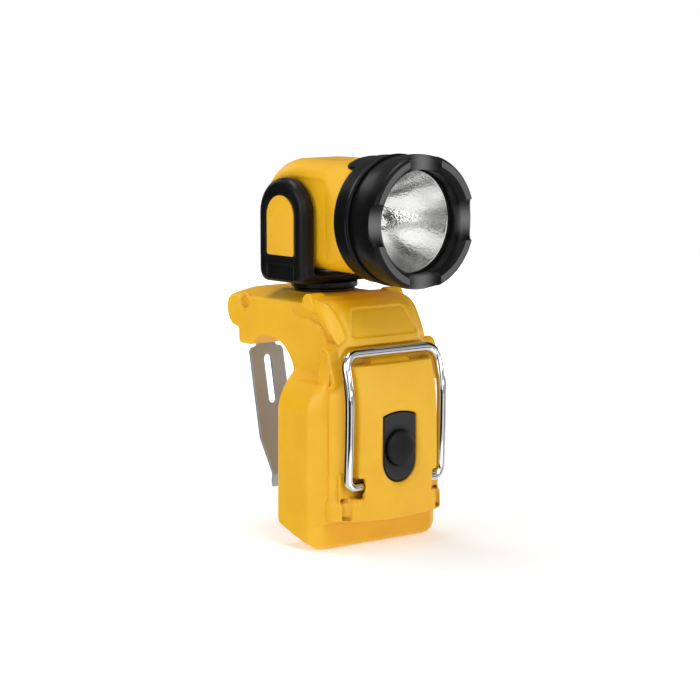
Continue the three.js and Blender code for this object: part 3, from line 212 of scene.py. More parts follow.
def capsule(low, high, radius, steps=14):
    """A long outline with round ends."""
    angle = math.atan2(high[1] - low[1], high[0] - low[0])
    return (arc(*high, radius, angle - QUARTER, angle + QUARTER, steps)
            + arc(*low, radius, angle + QUARTER, angle + 3 * QUARTER, steps))


def mirrored(half):
    """The right half of an outline, repeated on the left."""
    return list(half) + [(-row[0], *row[1:]) for row in reversed(half)]


def between(rows, steps=5):
    """A table's rows with smooth rows put in between, by a cubic against the first column that never
    overshoots."""
    rows = np.array(rows, float)
    place = rows[:, 0]
    chords = np.diff(rows, axis=0) / np.diff(place)[:, None]
    before, after = chords[:-1], chords[1:]
    total = np.where(before * after > 0, before + after, 1.0)
    slope = np.vstack([chords[:1], np.where(before * after > 0, 2 * before * after / total, 0.0),
                       chords[-1:]])
    made = []
    for i in range(len(rows) - 1):
        span = place[i + 1] - place[i]
        for k in range(steps):
            s = k / steps
            made.append((2 * s ** 3 - 3 * s ** 2 + 1) * rows[i] + (s ** 3 - 2 * s ** 2 + s) * span * slope[i]
                        + (3 * s ** 2 - 2 * s ** 3) * rows[i + 1] + (s ** 3 - s ** 2) * span * slope[i + 1])
    made.append(rows[-1])
    return made


# Solids

def linked(name, data):
    """A new object in the scene for a mesh, curve, lamp or camera."""
    made = bpy.data.objects.new(name, data)
    bpy.context.scene.collection.objects.link(made)
    return made


def closed(name, points, faces):
    """A mesh object from points in millimetres, with its doubles merged and its faces pointing out."""
    shape = bmesh.new()
    spots = [shape.verts.new(Vector(p) * MM) for p in points]
    for face in faces:
        corners = [spots[k] for k in dict.fromkeys(face)]
        if len(corners) > 2:
            shape.faces.new(corners)
    bmesh.ops.remove_doubles(shape, verts=shape.verts, dist=1e-7)
    bmesh.ops.recalc_face_normals(shape, faces=shape.faces)
    mesh = bpy.data.meshes.new(name)
    shape.to_mesh(mesh)
    shape.free()
    return linked(name, mesh)


def loft(rings, name="form"):
    """A closed skin through rings of points."""
    count = len(rings[0])
    points = [p for ring in rings for p in ring]
    faces = []
    for k in range(len(rings) - 1):
        for i in range(count):
            a, b = k * count + i, k * count + (i + 1) % count
            faces.append((a, b, b + count, a + count))
    faces.append(tuple(range(count)))
    faces.append(tuple(range(len(points) - count, len(points))))
    return closed(name, points, faces)


def sideways(outline, x0, x1):
    """An outline in Y and Z, drawn out along X."""
    return loft([[(x, y, z) for y, z in outline] for x in (x0, x1)])


def frontal(outline, y0, y1):
    """An outline in X and Z, drawn out along Y."""
    return loft([[(x, y, z) for x, z in outline] for y in (y0, y1)])


def upright(outline, z0, z1):
    """An outline in X and Y, drawn out along Z."""
    return loft([[(x, y, z) for x, y in outline] for z in (z0, z1)])


def sided(side, near, far):
    """The span in X between two distances from the middle, on one side, in rising order."""
    return sorted((side * near, side * far))


def block(x0, x1, y0, y1, z0, z1):
    return upright([(x0, y0), (x1, y0), (x1, y1), (x0, y1)], z0, z1)


def turned(profile, axis, centre, steps=96, name="form"):
    """A solid of revolution from a closed profile of (radius, place) pairs."""
    points = []
    for radius, place in profile:
        for k in range(steps):
            a = TAU * k / steps
            u, v = radius * math.cos(a), radius * math.sin(a)
            spot = {"x": (place, u, v), "y": (u, place, v), "z": (u, v, place)}[axis]
            points.append([c + s for c, s in zip(centre, spot)])
    count = len(profile)
    faces = []
    for j in range(count):
        for k in range(steps):
            a, b = j * steps + k, j * steps + (k + 1) % steps
            c, d = (j + 1) % count * steps + (k + 1) % steps, (j + 1) % count * steps + k
            faces.append((a, b, c, d))
    return closed(name, points, faces)


def rod(radius, start, end, axis, centre, steps=48):
    """A round bar along one axis, from start to end past its centre."""
    ring = arc(0, 0, radius, 0, TAU * (1 - 1 / steps), steps - 1)
    spots = {"x": lambda u, v, t: (t, u, v), "y": lambda u, v, t: (u, t, v), "z": lambda u, v,
             t: (u, v, t)}[axis]
    return loft([[tuple(c + s for c, s in zip(centre, spots(u, v, t))) for u, v in ring]
                 for t in (start, end)])


def settle(piece):
    """Turns what the modifiers show into the piece's own mesh."""
    graph = bpy.context.evaluated_depsgraph_get()
    mesh = bpy.data.meshes.new_from_object(piece.evaluated_get(graph))
    piece.modifiers.clear()
    piece.data = mesh
    return piece


def combine(base, operation, others):
    """Joins, cuts or overlaps closed forms, and uses the others up."""
    for other in others:
        step = base.modifiers.new("Combine", "BOOLEAN")
        step.operation = operation
        step.solver = "MANIFOLD"
        step.object = other
    settle(base)
    for other in others:
        bpy.data.objects.remove(other, do_unlink=True)
    return base


def cut(base, *others):
    return combine(base, "DIFFERENCE", others)


def join(base, *others):
    return combine(base, "UNION", others)


def overlap(base, *others):
    return combine(base, "INTERSECT", others)


def soften(piece, cells, rounds, limit=150000):
    """Rounds all edges as a mould does: the form is rebuilt from small cells, then its skin is relaxed."""
    grow = 1.0
    step = piece.modifiers.new("Cells", "REMESH")
    step.mode = "VOXEL"
    step.voxel_size = cells * grow * MM
    relax = piece.modifiers.new("Relax", "SMOOTH")
    relax.factor = 0.5
    relax.iterations = max(1, round(rounds / grow ** 2))
    settle(piece)
    count = sum(len(p.vertices) - 2 for p in piece.data.polygons)
    if count > limit:
        thin = piece.modifiers.new("Thin", "DECIMATE")
        thin.ratio = limit / count
        settle(piece)
    return smooth(piece)


def smooth(piece, angle=None):
    """Smooth shading, with edges over an angle kept crisp where one is given."""
    piece.data.polygons.foreach_set("use_smooth", [True] * len(piece.data.polygons))
    if angle is not None:
        piece.data.set_sharp_from_angle(angle=math.radians(angle))
    return piece


def copied(node, name):
    """A copy of a CAD node's mesh with its loose triangles merged."""
    shape = bmesh.new()
    shape.from_mesh(NODES[node].data)
    bmesh.ops.remove_doubles(shape, verts=shape.verts, dist=2e-6)
    mesh = bpy.data.meshes.new(name)
    shape.to_mesh(mesh)
    shape.free()
    mesh.materials.clear()
    return linked(name, mesh)


def place(piece, name, body, finish, slot, *nodes):
    """Names a finished piece, gives it its finish and body, and lets it stand for its CAD nodes."""
    piece.name = name
    piece.data.name = name
    if finish is not None:
        piece.data.materials.clear()
        piece.data.materials.append(finish)
    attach(piece, body)
    if nodes:
        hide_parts(*nodes)
    return piece


def dress(finish, *nodes):
    """Gives CAD nodes that keep their shape a finish in their own slots."""
    for name in nodes:
        held = NODES[name].data.materials
        if len(held) == 0:
            held.append(finish)
        for k in range(len(held)):
            held[k] = finish
        NODES[name].data.polygons.foreach_set("use_smooth", [False] * len(NODES[name].data.polygons))


# Finishes

def linear(code):
    """An sRGB hex colour as linear values."""
    parts = [int(code[k:k + 2], 16) / 255 for k in (1, 3, 5)]
    return [p / 12.92 if p <= 0.04045 else ((p + 0.055) / 1.055) ** 2.4 for p in parts] + [1.0]


def add(tree, kind, settings=None, **inputs):
    """Adds a node, with its settings and with values or links for its inputs."""
    made = tree.nodes.new(kind)
    for key, value in (settings or {}).items():
        setattr(made, key, value)
    for key, value in inputs.items():
        numbered = key[0] == "n" and key[1:].isdigit()
        socket = made.inputs[int(key[1:])] if numbered else made.inputs[key.replace("_", " ")]
        if isinstance(value, bpy.types.NodeSocket):
            tree.links.new(value, socket)
        else:
            socket.default_value = value
    return made


def blank(name):
    """A material with only its shader and output."""
    made = bpy.data.materials.new(name)
    made.use_nodes = True
    tree = made.node_tree
    tree.nodes.clear()
    shader = tree.nodes.new("ShaderNodeBsdfPrincipled")
    output = tree.nodes.new("ShaderNodeOutputMaterial")
    tree.links.new(shader.outputs["BSDF"], output.inputs["Surface"])
    return made, tree, shader


def moulded(name, code, deep, roughness, grain, relief, gleam=0.5):
    """A moulded plastic with a fine eroded texture, a faint unevenness in its colour and a duller
    touched sheen."""
    made, tree, shader = blank(name)
    spots = add(tree, "ShaderNodeTexCoord").outputs["Object"]
    cloud = add(tree, "ShaderNodeTexNoise", Vector=spots, Scale=1 / (22 * MM), Detail=3.0, Roughness=0.5)
    tone = add(tree, "ShaderNodeMapRange", Value=cloud.outputs["Fac"], From_Min=0.35, From_Max=0.65)
    mix = add(tree, "ShaderNodeMix", {"data_type": "RGBA"}, Factor=tone.outputs["Result"])
    mix.inputs[6].default_value = linear(code)
    mix.inputs[7].default_value = linear(deep)
    tree.links.new(mix.outputs[2], shader.inputs["Base Color"])
    rub = add(tree, "ShaderNodeTexNoise", Vector=spots, Scale=1 / (9 * MM), Detail=4.0)
    sheen = add(tree, "ShaderNodeMapRange", Value=rub.outputs["Fac"], From_Min=0.3, From_Max=0.7,
                To_Min=roughness - 0.05, To_Max=roughness + 0.06)
    tree.links.new(sheen.outputs["Result"], shader.inputs["Roughness"])
    pits = add(tree, "ShaderNodeTexNoise", Vector=spots, Scale=1 / (grain * MM), Detail=2.0)
    bump = add(tree, "ShaderNodeBump", Height=pits.outputs["Fac"], Strength=relief, Distance=0.05 * MM)
    tree.links.new(bump.outputs["Normal"], shader.inputs["Normal"])
    shader.inputs["IOR"].default_value = MOULDED_IOR
    shader.inputs["Specular IOR Level"].default_value = gleam
    return made


def paint_groove_shade(made, code, reach):
    """Paints shade into the grooves and inner corners of a piece: its colour darkens towards a deep tone
    where the piece itself closes in round a point.
    """
    tree, shader = made.node_tree, made.node_tree.nodes["Principled BSDF"]
    plain = shader.inputs["Base Color"].links[0].from_socket
    open_sky = add(tree, "ShaderNodeAmbientOcclusion", {"samples": GROOVE_SAMPLES, "only_local": True},
                   Distance=reach * MM)
    amount = add(tree, "ShaderNodeMapRange", Value=open_sky.outputs["AO"], From_Min=0.3, From_Max=0.9,
                 To_Min=1.0, To_Max=0.0)
    mix = add(tree, "ShaderNodeMix", {"data_type": "RGBA"}, Factor=amount.outputs["Result"])
    tree.links.new(plain, mix.inputs[6])
    mix.inputs[7].default_value = linear(code)
    tree.links.new(mix.outputs[2], shader.inputs["Base Color"])


def paint_highlight(made, layer, code):
    """Paints a highlight: the colour runs towards a paler one where a layer of the mesh says so."""
    tree, shader = made.node_tree, made.node_tree.nodes["Principled BSDF"]
    plain = shader.inputs["Base Color"].links[0].from_socket
    amount = add(tree, "ShaderNodeAttribute", {"attribute_name": layer})
    mix = add(tree, "ShaderNodeMix", {"data_type": "RGBA"}, Factor=amount.outputs["Fac"])
    tree.links.new(plain, mix.inputs[6])
    mix.inputs[7].default_value = linear(code)
    tree.links.new(mix.outputs[2], shader.inputs["Base Color"])


def metal(name, code, roughness, grain=(1, 1, 1), scale=1.0, relief=0.0, spread=0.05, whole=1.0):
    """A metal: its grain is stretched along the way it was brushed or drawn."""
    made, tree, shader = blank(name)
    spots = add(tree, "ShaderNodeTexCoord").outputs["Object"]
    drawn = add(tree, "ShaderNodeMapping", Vector=spots, Scale=grain)
    lines = add(tree, "ShaderNodeTexNoise", Vector=drawn.outputs["Vector"], Scale=1 / (scale * MM),
                Detail=4.0)
    sheen = add(tree, "ShaderNodeMapRange", Value=lines.outputs["Fac"], From_Min=0.3, From_Max=0.7,
                To_Min=roughness - spread, To_Max=roughness + spread)
    tree.links.new(sheen.outputs["Result"], shader.inputs["Roughness"])
    if relief:
        bump = add(tree, "ShaderNodeBump", Height=lines.outputs["Fac"], Strength=relief, Distance=0.03 * MM)
        tree.links.new(bump.outputs["Normal"], shader.inputs["Normal"])
    shader.inputs["Base Color"].default_value = linear(code)
    shader.inputs["Metallic"].default_value = whole
    return made


def clear(name, code, roughness, least, most):
    """A thin clear shell: it shows what lies behind it, and gleams more where it is seen at a slant."""
    made, tree, shader = blank(name)
    slant = add(tree, "ShaderNodeLayerWeight", Blend=0.35)
    cover = add(tree, "ShaderNodeMapRange", Value=slant.outputs["Fresnel"], To_Min=least, To_Max=most)
    tree.links.new(cover.outputs["Result"], shader.inputs["Alpha"])
    shader.inputs["Base Color"].default_value = linear(code)
    shader.inputs["Roughness"].default_value = roughness
    shader.inputs["IOR"].default_value = 1.58
    return made


FINISHES = {}


def finishes():
    """All the finishes, made once from the colours in the panel."""
    if FINISHES:
        return FINISHES
    colours = bpy.context.scene.worklight_colours

    def code(value):
        return "#" + "".join(f"{round(max(0, min(1, c)) * 255):02X}" for c in value[:3])

    yellow = code(colours.yellow)
    black = code(colours.black)
    # Glass-filled ABS out of an eroded mould: an even satin yellow with soft, broad highlights.
    FINISHES["yellow"] = moulded("Moulded_ABS_yellow", yellow, "#EFB313", 0.38, 0.35, 0.16, gleam=0.4)
    # Painted shade: the yellow darkens to a deep orange in its grooves and inner corners.
    paint_groove_shade(FINISHES["yellow"], "#A4610A", 2.2)
    # The same ABS in black, a little duller, so edges show as soft grey lines.
    FINISHES["black"] = moulded("Moulded_ABS_black", black, "#0E0E0F", 0.36, 0.4, 0.18, gleam=0.2)
    # Black nylon turned out of a polished mould: the barrel shows long clean highlights.
    FINISHES["barrel"] = moulded("Moulded_nylon_black", "#101011", "#0C0C0D", 0.32, 0.5, 0.1, gleam=0.14)
    # Painted highlight: the bezel's notch floors turn paler grey towards their middles.
    paint_highlight(FINISHES["barrel"], "polish", "#6A6A6B")
    # The bezel's front faces keep the coarse spark texture in their roughness and bumps; their colour is
    # painted a lighter grey for the light that falls on them from the front.
    FINISHES["ring_face"] = moulded("Spark_textured_nylon", "#4C4C4E", "#464648", 0.5, 0.45, 0.5)
    # Dark grey ABS of the switch plate, eroded and matt.
    FINISHES["plate"] = moulded("Moulded_ABS_grey", "#343437", "#2D2D2F", 0.5, 0.4, 0.3, gleam=0.14)
    # Soft thermoplastic rubber of the button and gasket: nearly black with a wide dull sheen.
    FINISHES["rubber"] = moulded("Moulded_TPE_rubber", "#0D0D0E", "#121213", 0.44, 0.6, 0.25, gleam=0.18)
    # Vinyl label film, bare: slightly paler and smoother than the plastic round it.
    FINISHES["label"] = moulded("Vinyl_label_film", "#F3BA28", "#F0B41F", 0.3, 1.2, 0.06)
    # Stainless spring steel, brushed along its length before it was bent.
    FINISHES["steel"] = metal("Brushed_stainless_steel", "#A8ADB5", 0.42, (26, 26, 0.7), 3.0, 0.2, 0.06, 0.6)
    # Nickel-chrome plating over drawn wire: a mirror with faint ripples.
    FINISHES["chrome"] = metal("Chrome_plated_wire", "#DADADC", 0.06, (1, 1, 0.4), 2.0, 0.03, 0.02)
    # Zinc plating, barrel finished: pale and slightly cloudy.
    FINISHES["zinc"] = metal("Zinc_plated_steel", "#C4C4BE", 0.32, (1, 1, 1), 1.2, 0.1, 0.08)
    # Spring steel, its colour painted dark for the shade that falls on the swivel washer under the yoke.
    FINISHES["oxide"] = metal("Black_oxide_steel", "#2B2B2D", 0.42, (1, 1, 1), 1.0, 0.1, 0.08)
    # Aluminium vacuum-deposited on a moulded dish: bright, and as uneven as the mould.
    FINISHES["silver"] = metal("Metallised_reflector", "#FBFBFA", 0.16, (1, 1, 1), 1.4, 0.1, 0.05, 0.92)
    # Tinned brass spring strips.
    FINISHES["brass"] = metal("Brass_strip", "#C0A25C", 0.3, (0.5, 8, 8), 1.0, 0.1)
    # Clear polycarbonate of the lens and the glass of the bulb.
    FINISHES["lens"] = clear("Clear_polycarbonate", "#2A2C2E", 0.04, 0.02, 0.25)
    FINISHES["glass"] = clear("Lamp_glass", "#D8DCE0", 0.02, 0.2, 0.8)
    # Printed circuit board: green solder mask over glass cloth.
    FINISHES["board"] = moulded("Solder_mask_green", "#1E5B35", "#174A2B", 0.35, 0.8, 0.2)
    # Shrink film round the cells.
    FINISHES["jacket"] = moulded("Shrink_film_jacket", "#2F4F73", "#294766", 0.25, 3.0, 0.1)
    # Natural nylon of the washers and the plunger.
    FINISHES["nylon"] = moulded("Natural_nylon", "#DAD6CB", "#CFCABD", 0.45, 0.8, 0.15)
    return FINISHES


# Geometry Nodes

def growth(name, sockets):
    """A Geometry Nodes tree with geometry in and out and a named input for each size."""
    tree = bpy.data.node_groups.new(name, "GeometryNodeTree")
    tree.interface.new_socket("Geometry", in_out="INPUT", socket_type="NodeSocketGeometry")
    tree.interface.new_socket("Geometry", in_out="OUTPUT", socket_type="NodeSocketGeometry")
    for label, kind in sockets:
        tree.interface.new_socket(label, in_out="INPUT", socket_type=kind)
    tree.interface.new_socket("Finish", in_out="INPUT", socket_type="NodeSocketMaterial")
    return tree, tree.nodes.new("NodeGroupInput")


def ripen(tree, start, geometry):
    """Ends a tree: copies become real faces and take their finish."""
    real = add(tree, "GeometryNodeRealizeInstances", Geometry=geometry)
    shade = add(tree, "GeometryNodeSetShadeSmooth", Geometry=real.outputs["Geometry"])
    coat = add(tree, "GeometryNodeSetMaterial", Geometry=shade.outputs["Geometry"],
               Material=start.outputs["Finish"])
    out = tree.nodes.new("NodeGroupOutput")
    tree.links.new(coat.outputs["Geometry"], out.inputs["Geometry"])
    return tree


def grow(piece, tree, **values):
    """Runs a tree on a piece with its named inputs set, and keeps the plain mesh that comes out."""
    step = piece.modifiers.new("Growth", "NODES")
    step.node_group = tree
    for item in tree.interface.items_tree:
        if item.in_out == "INPUT" and item.name.replace(" ", "_") in values:
            step[item.identifier] = values[item.name.replace(" ", "_")]
    graph = bpy.context.evaluated_depsgraph_get()
    mesh = bpy.data.meshes.new_from_object(piece.evaluated_get(graph))
    made = linked(piece.name, mesh)
    bpy.data.objects.remove(piece, do_unlink=True)
    return made


def wire_tree():
    """A round wire along a curve."""
    tree, start = growth("Bent_wire", [("Radius", "NodeSocketFloat"), ("Sides", "NodeSocketInt")])
    ring = add(tree, "GeometryNodeCurvePrimitiveCircle", Resolution=start.outputs["Sides"],
               Radius=start.outputs["Radius"])
    skin = add(tree, "GeometryNodeCurveToMesh", Curve=start.outputs["Geometry"],
               Profile_Curve=ring.outputs["Curve"])
    skin.inputs["Fill Caps"].default_value = True
    return ripen(tree, start, skin.outputs["Mesh"])


def spread_tree():
    """One shape repeated on every point of a mesh."""
    tree, start = growth("Shape_on_points", [("Shape", "NodeSocketObject")])
    points = add(tree, "GeometryNodeMeshToPoints", Mesh=start.outputs["Geometry"])
    shape = add(tree, "GeometryNodeObjectInfo", Object=start.outputs["Shape"])
    copies = add(tree, "GeometryNodeInstanceOnPoints", Points=points.outputs["Points"],
                 Instance=shape.outputs["Geometry"])
    return ripen(tree, start, copies.outputs["Instances"])


def hammered_tree():
    """Small round dents all over a shell, each about as wide as the given size."""
    tree, start = growth("Hammered_shell",
                         [("Dent size", "NodeSocketFloat"), ("Dent depth", "NodeSocketFloat")])
    spots = add(tree, "GeometryNodeInputPosition")
    cells = add(tree, "ShaderNodeMath", {"operation": "DIVIDE"}, n0=1.0, n1=start.outputs["Dent size"])
    dents = add(tree, "ShaderNodeTexVoronoi", {"feature": "SMOOTH_F1"}, Vector=spots.outputs["Position"],
                Scale=cells.outputs[0], Smoothness=0.35)
    push = add(tree, "ShaderNodeMath", {"operation": "MULTIPLY"}, n0=dents.outputs["Distance"],
               n1=start.outputs["Dent depth"])
    facing = add(tree, "GeometryNodeInputNormal")
    shift = add(tree, "ShaderNodeVectorMath", {"operation": "SCALE"}, n0=facing.outputs["Normal"])
    tree.links.new(push.outputs[0], shift.inputs["Scale"])
    moved = add(tree, "GeometryNodeSetPosition", Geometry=start.outputs["Geometry"],
                Offset=shift.outputs["Vector"])
    return ripen(tree, start, moved.outputs["Geometry"])


def quarters_tree():
    """A sector repeated round an axis along Y until it closes the ring. Its marked faces take a second
    finish."""
    tree, start = growth("Ring_of_sectors", [("Count", "NodeSocketInt"), ("Centre", "NodeSocketVector"),
                                             ("Face finish", "NodeSocketMaterial")])
    line = add(tree, "GeometryNodeMeshLine", Count=start.outputs["Count"],
               Start_Location=start.outputs["Centre"])
    line.inputs["Offset"].default_value = (0, 0, 0)
    number = add(tree, "GeometryNodeInputIndex")
    share = add(tree, "ShaderNodeMath", {"operation": "DIVIDE"}, n0=number.outputs["Index"],
                n1=start.outputs["Count"])
    turn = add(tree, "ShaderNodeMath", {"operation": "MULTIPLY"}, n0=share.outputs[0], n1=TAU)
    angle = add(tree, "ShaderNodeCombineXYZ", Y=turn.outputs[0])
    copies = add(tree, "GeometryNodeInstanceOnPoints", Points=line.outputs["Mesh"],
                 Instance=start.outputs["Geometry"], Rotation=angle.outputs["Vector"])
    real = add(tree, "GeometryNodeRealizeInstances", Geometry=copies.outputs["Instances"])
    whole = add(tree, "GeometryNodeMergeByDistance", Geometry=real.outputs["Geometry"], Distance=2e-6)
    coat = add(tree, "GeometryNodeSetMaterial", Geometry=whole.outputs["Geometry"],
               Material=start.outputs["Finish"])
    mark = add(tree, "GeometryNodeInputNamedAttribute", {"data_type": "BOOLEAN"}, Name="front_face")
    last = add(tree, "GeometryNodeSetMaterial", Geometry=coat.outputs["Geometry"],
               Selection=mark.outputs["Attribute"], Material=start.outputs["Face finish"])
    out = tree.nodes.new("NodeGroupOutput")
    tree.links.new(last.outputs["Geometry"], out.inputs["Geometry"])
    return tree


# Forms of the body

COVER_SHARES = [
    (0, 0.995, 1.0, 0.7), (0.02, 1.02, 1.03, 0.72), (0.09, 1.02, 1.03, 0.75), (0.12, 0.99, 0.985, 0.95),
    (0.35, 1.0, 1.0, 1.0), (0.58, 0.99, 0.995, 1.0), (0.68, 0.965, 0.955, 0.95), (0.755, 0.9, 0.9, 0.85),
    (0.79, 0.84, 0.865, 0.72), (0.835, 0.825, 0.825, 0.7), (0.895, 0.817, 0.745, 0.7),
    (0.95, 0.8, 0.645, 0.68), (0.983, 0.76, 0.5, 0.6), (1, 0.66, 0.3, 0.45),
]
PANEL_SHARES = [
    (0, 0.99, 0.1, 0.28), (0.1, 0.98, 0.38, 0.58), (0.2, 0.98, 0.62, 0.86), (0.35, 0.985, 0.68, 1.0),
    (0.6, 0.985, 0.66, 1.0), (0.82, 0.985, 0.52, 0.82), (0.95, 0.975, 0.18, 0.5), (1, 0.97, 0.02, 0.3),
]
SHOULDER_SHARES = [(0, 1), (0.26, 0.89), (0.53, 0.67), (0.76, 0.4), (1, 0)]


def plan_ring(corners, z, steps=10):
    return [(x, y, z) for x, y in rounded(corners, steps)]


def case_form():
    """The battery case with its rounded base and its shoulder."""
    def section(half, inset):
        return mirrored([
            (half - inset, CASE_REAR - inset * 0.4, CORNER_ROUND),
            (half - inset, BEVEL_FRONT, BEVEL_ROUND),
            (min(SPLIT_HALF, half) - inset, SPLIT_FRONT + inset, BEVEL_ROUND),
        ])
    rings = []
    for angle in np.linspace(0, QUARTER, 9):
        rings.append(plan_ring(section(CASE_HALF, BOTTOM_ROUND * (1 - math.sin(angle))),
                               BOTTOM_ROUND * (1 - math.cos(angle))))
    for rise, half in between(SHOULDER_SHARES, 4):
        width = BEAM_HALF - GAP + (CASE_HALF - BEAM_HALF) * half
        rings.append(plan_ring(section(width, 0), CASE_TOP + SHOULDER * rise))
    return loft(rings)


def beam_form():
    """The hook beam: a rounded end, a lip, an arch, a crowned top and the pad under the belt clip."""
    lip_front = ARCH_BACK + math.sqrt(ARCH_RADIUS ** 2 - (LIP_BOTTOM - ARCH_RISE) ** 2)
    lip_angle = math.atan2(LIP_BOTTOM - ARCH_RISE, lip_front - ARCH_BACK)
    tuck_angle = math.asin((TUCK_RISE - END_RISE) / END_RADIUS)
    side = [(-SPLIT_BACK - EDGE, BODY_TOP)]
    side += arc(END_BACK, END_RISE, END_RADIUS, QUARTER, tuck_angle, 32)
    side += [(LIP_REAR, TUCK_RISE - EDGE)]
    side += rounded([(LIP_REAR, TUCK_RISE - EDGE, 0), (LIP_REAR, LIP_BOTTOM, EDGE * 1.8),
                     (lip_front, LIP_BOTTOM, 0)])[1:-1]
    side += arc(ARCH_BACK, ARCH_RISE, ARCH_RADIUS, lip_angle, math.pi, 48)
    side += [(ARCH_BACK - ARCH_RADIUS, CASE_TOP - OVERRUN), (BEVEL_FRONT, CASE_TOP - OVERRUN)]
    edge_rise = BODY_TOP - CROWN_DROP
    front = rounded(mirrored([
        (BEAM_HALF, CASE_TOP - OVERRUN * 2, 0), (BEAM_HALF, edge_rise, EDGE * 2),
        (CROWN_HALF, BODY_TOP + 0.06, EDGE * 6),
    ]), 12)
    beam = overlap(sideways(side, -BEAM_HALF, BEAM_HALF),
                   frontal(front, -BODY_TOP, END_BACK + END_RADIUS + OVERRUN))
    pad = frontal(rounded(mirrored([(PAD_HALF, TUCK_RISE + EDGE, EDGE),
                                    (PAD_HALF, BODY_TOP - CROWN_DROP, EDGE)])),
                  END_BACK, END_BACK + END_RADIUS + PAD_DEPTH)
    seat = rod(15.2, edge_rise, BODY_TOP, "z", (0, SWIVEL_BACK, 0), 96)
    return join(beam, pad, seat)


def cover_form(inset=0.0):
    """The cover's flanks and brow."""
    rise = BODY_TOP - COVER_LIP
    low, high = COVER_LIP + max(inset, 0) * 1.5, BODY_TOP - inset * 1.3
    rings = []
    for up, half, front, corner in between(COVER_SHARES, 4):
        z = min(max(COVER_LIP + rise * up, low), high)
        if rings and z <= rings[-1][0][2] + 0.01:
            continue
        half = COVER_HALF * half - inset
        face = -COVER_FRONT * front + inset
        bend = max(COVER_CORNER * corner - inset, EDGE)
        shoulder = min(half, BEAM_HALF - GAP - inset)
        rings.append(plan_ring(mirrored([
            (shoulder, max(MID_FRONT, face + bend + EDGE * 3) if inset > 0 else 0, 0),
            (shoulder, max(FLARE_BACK, face + bend + EDGE * 2), 0),
            (half, max(SPLIT_FRONT + EDGE, face + bend + EDGE), 0),
            (half, face, bend),
        ]), z, 14))
    return loft(rings)


def panel_form(inset=0.0):
    """The bulging middle panel that carries the switch."""
    rise = PANEL_TOP - COVER_LIP
    rows = between(PANEL_SHARES, 4)
    rings = []
    for k, (up, half, side, middle) in enumerate(rows):
        z = COVER_LIP + rise * up + (inset * 2.5 if k == 0 else 0) - (inset if k == len(rows) - 1 else 0)
        if rings and z <= rings[-1][0][2] + 0.01:
            continue
        width = PANEL_HALF * half - inset

        def reach(share):
            return -COVER_FRONT - PANEL_PROUD * share + inset

        rings.append(plan_ring(mirrored([
            (width, -PANEL_REAR, 0), (width, reach(0) + EDGE * 2, EDGE),
            (width - EDGE, reach(side), EDGE * 1.5),
            (width * 0.45, reach(side * 0.3 + middle * 0.7), COVER_CORNER / 2), (EDGE, reach(middle), 0),
        ]), z, 8))
    return loft(rings)


def cover_region(shift=0.0):
    """Side outline of all that lies in front of the joint between housing and cover."""
    places = [
        (-SPLIT_BACK, BODY_TOP + OVERRUN), (-SPLIT_BACK, SPLIT_TOP),
        (-SPLIT_BACK * 1.42, SPLIT_TOP - EDGE * 4.6),
        (SPLIT_FRONT * 0.67, SPLIT_TOP - EDGE * 10), (SPLIT_FRONT * 0.8, CHANNEL_TOP - EDGE),
        (SPLIT_FRONT * 0.99, PANEL_TOP), (SPLIT_FRONT, PANEL_TOP - EDGE * 3),
        (SPLIT_FRONT, COVER_LIP - OVERRUN),
    ]
    return [(y - shift, z) for y, z in places] + [
        (-COVER_FRONT * 2, COVER_LIP - OVERRUN), (-COVER_FRONT * 2, BODY_TOP + OVERRUN)]


def cover_zone(shift):
    return sideways(cover_region(shift), -CASE_HALF - OVERRUN, CASE_HALF + OVERRUN)


def under_lip(lift):
    """All that lies under the cover's bowed lower edge."""
    half, bow = COVER_HALF + OVERRUN, 1.8
    radius = (half ** 2 + bow ** 2) / (2 * bow)
    swing = math.asin(half / radius)
    bottom = arc(0, COVER_LIP + radius + lift, radius, -QUARTER - swing, -QUARTER + swing, 40)
    return frontal(bottom + [(half, -OVERRUN), (-half, -OVERRUN)], -COVER_FRONT * 3, CASE_REAR)


def rear_cuts():
    """The cuts under the case's rear corners and behind its foot."""
    slant = [(CASE_REAR + OVERRUN, 15.7), (CASE_REAR, 13.5), (2.6, 9.66), (BEVEL_FRONT, 2.2),
             (BEVEL_FRONT, -OVERRUN), (CASE_REAR + OVERRUN, -OVERRUN)]
    heel = [(CASE_REAR + OVERRUN, 7), (CASE_REAR, 7), (2.6, EDGE), (1.4, -0.6), (CASE_REAR + OVERRUN, -0.6)]
    return [sideways(slant, FOOT_HALF, CASE_HALF + OVERRUN),
            sideways(slant, -CASE_HALF - OVERRUN, -FOOT_HALF),
            sideways(heel, -FOOT_HALF - EDGE, FOOT_HALF + EDGE)]


def cup_cut():
    corner = [(CASE_HALF + OVERRUN, CUP_FRONT - OVERRUN * 3), (CASE_HALF + OVERRUN, BEVEL_FRONT + EDGE),
              (SPLIT_HALF, CUP_FRONT)]
    return upright(mirrored(corner), -OVERRUN, COVER_LIP)


def body_form():
    """The body's whole outer form, before it is split into housing and cover."""
    whole = join(cut(case_form(), cup_cut()), beam_form(), cut(cover_form(), under_lip(0)))
    return cut(whole, *rear_cuts())


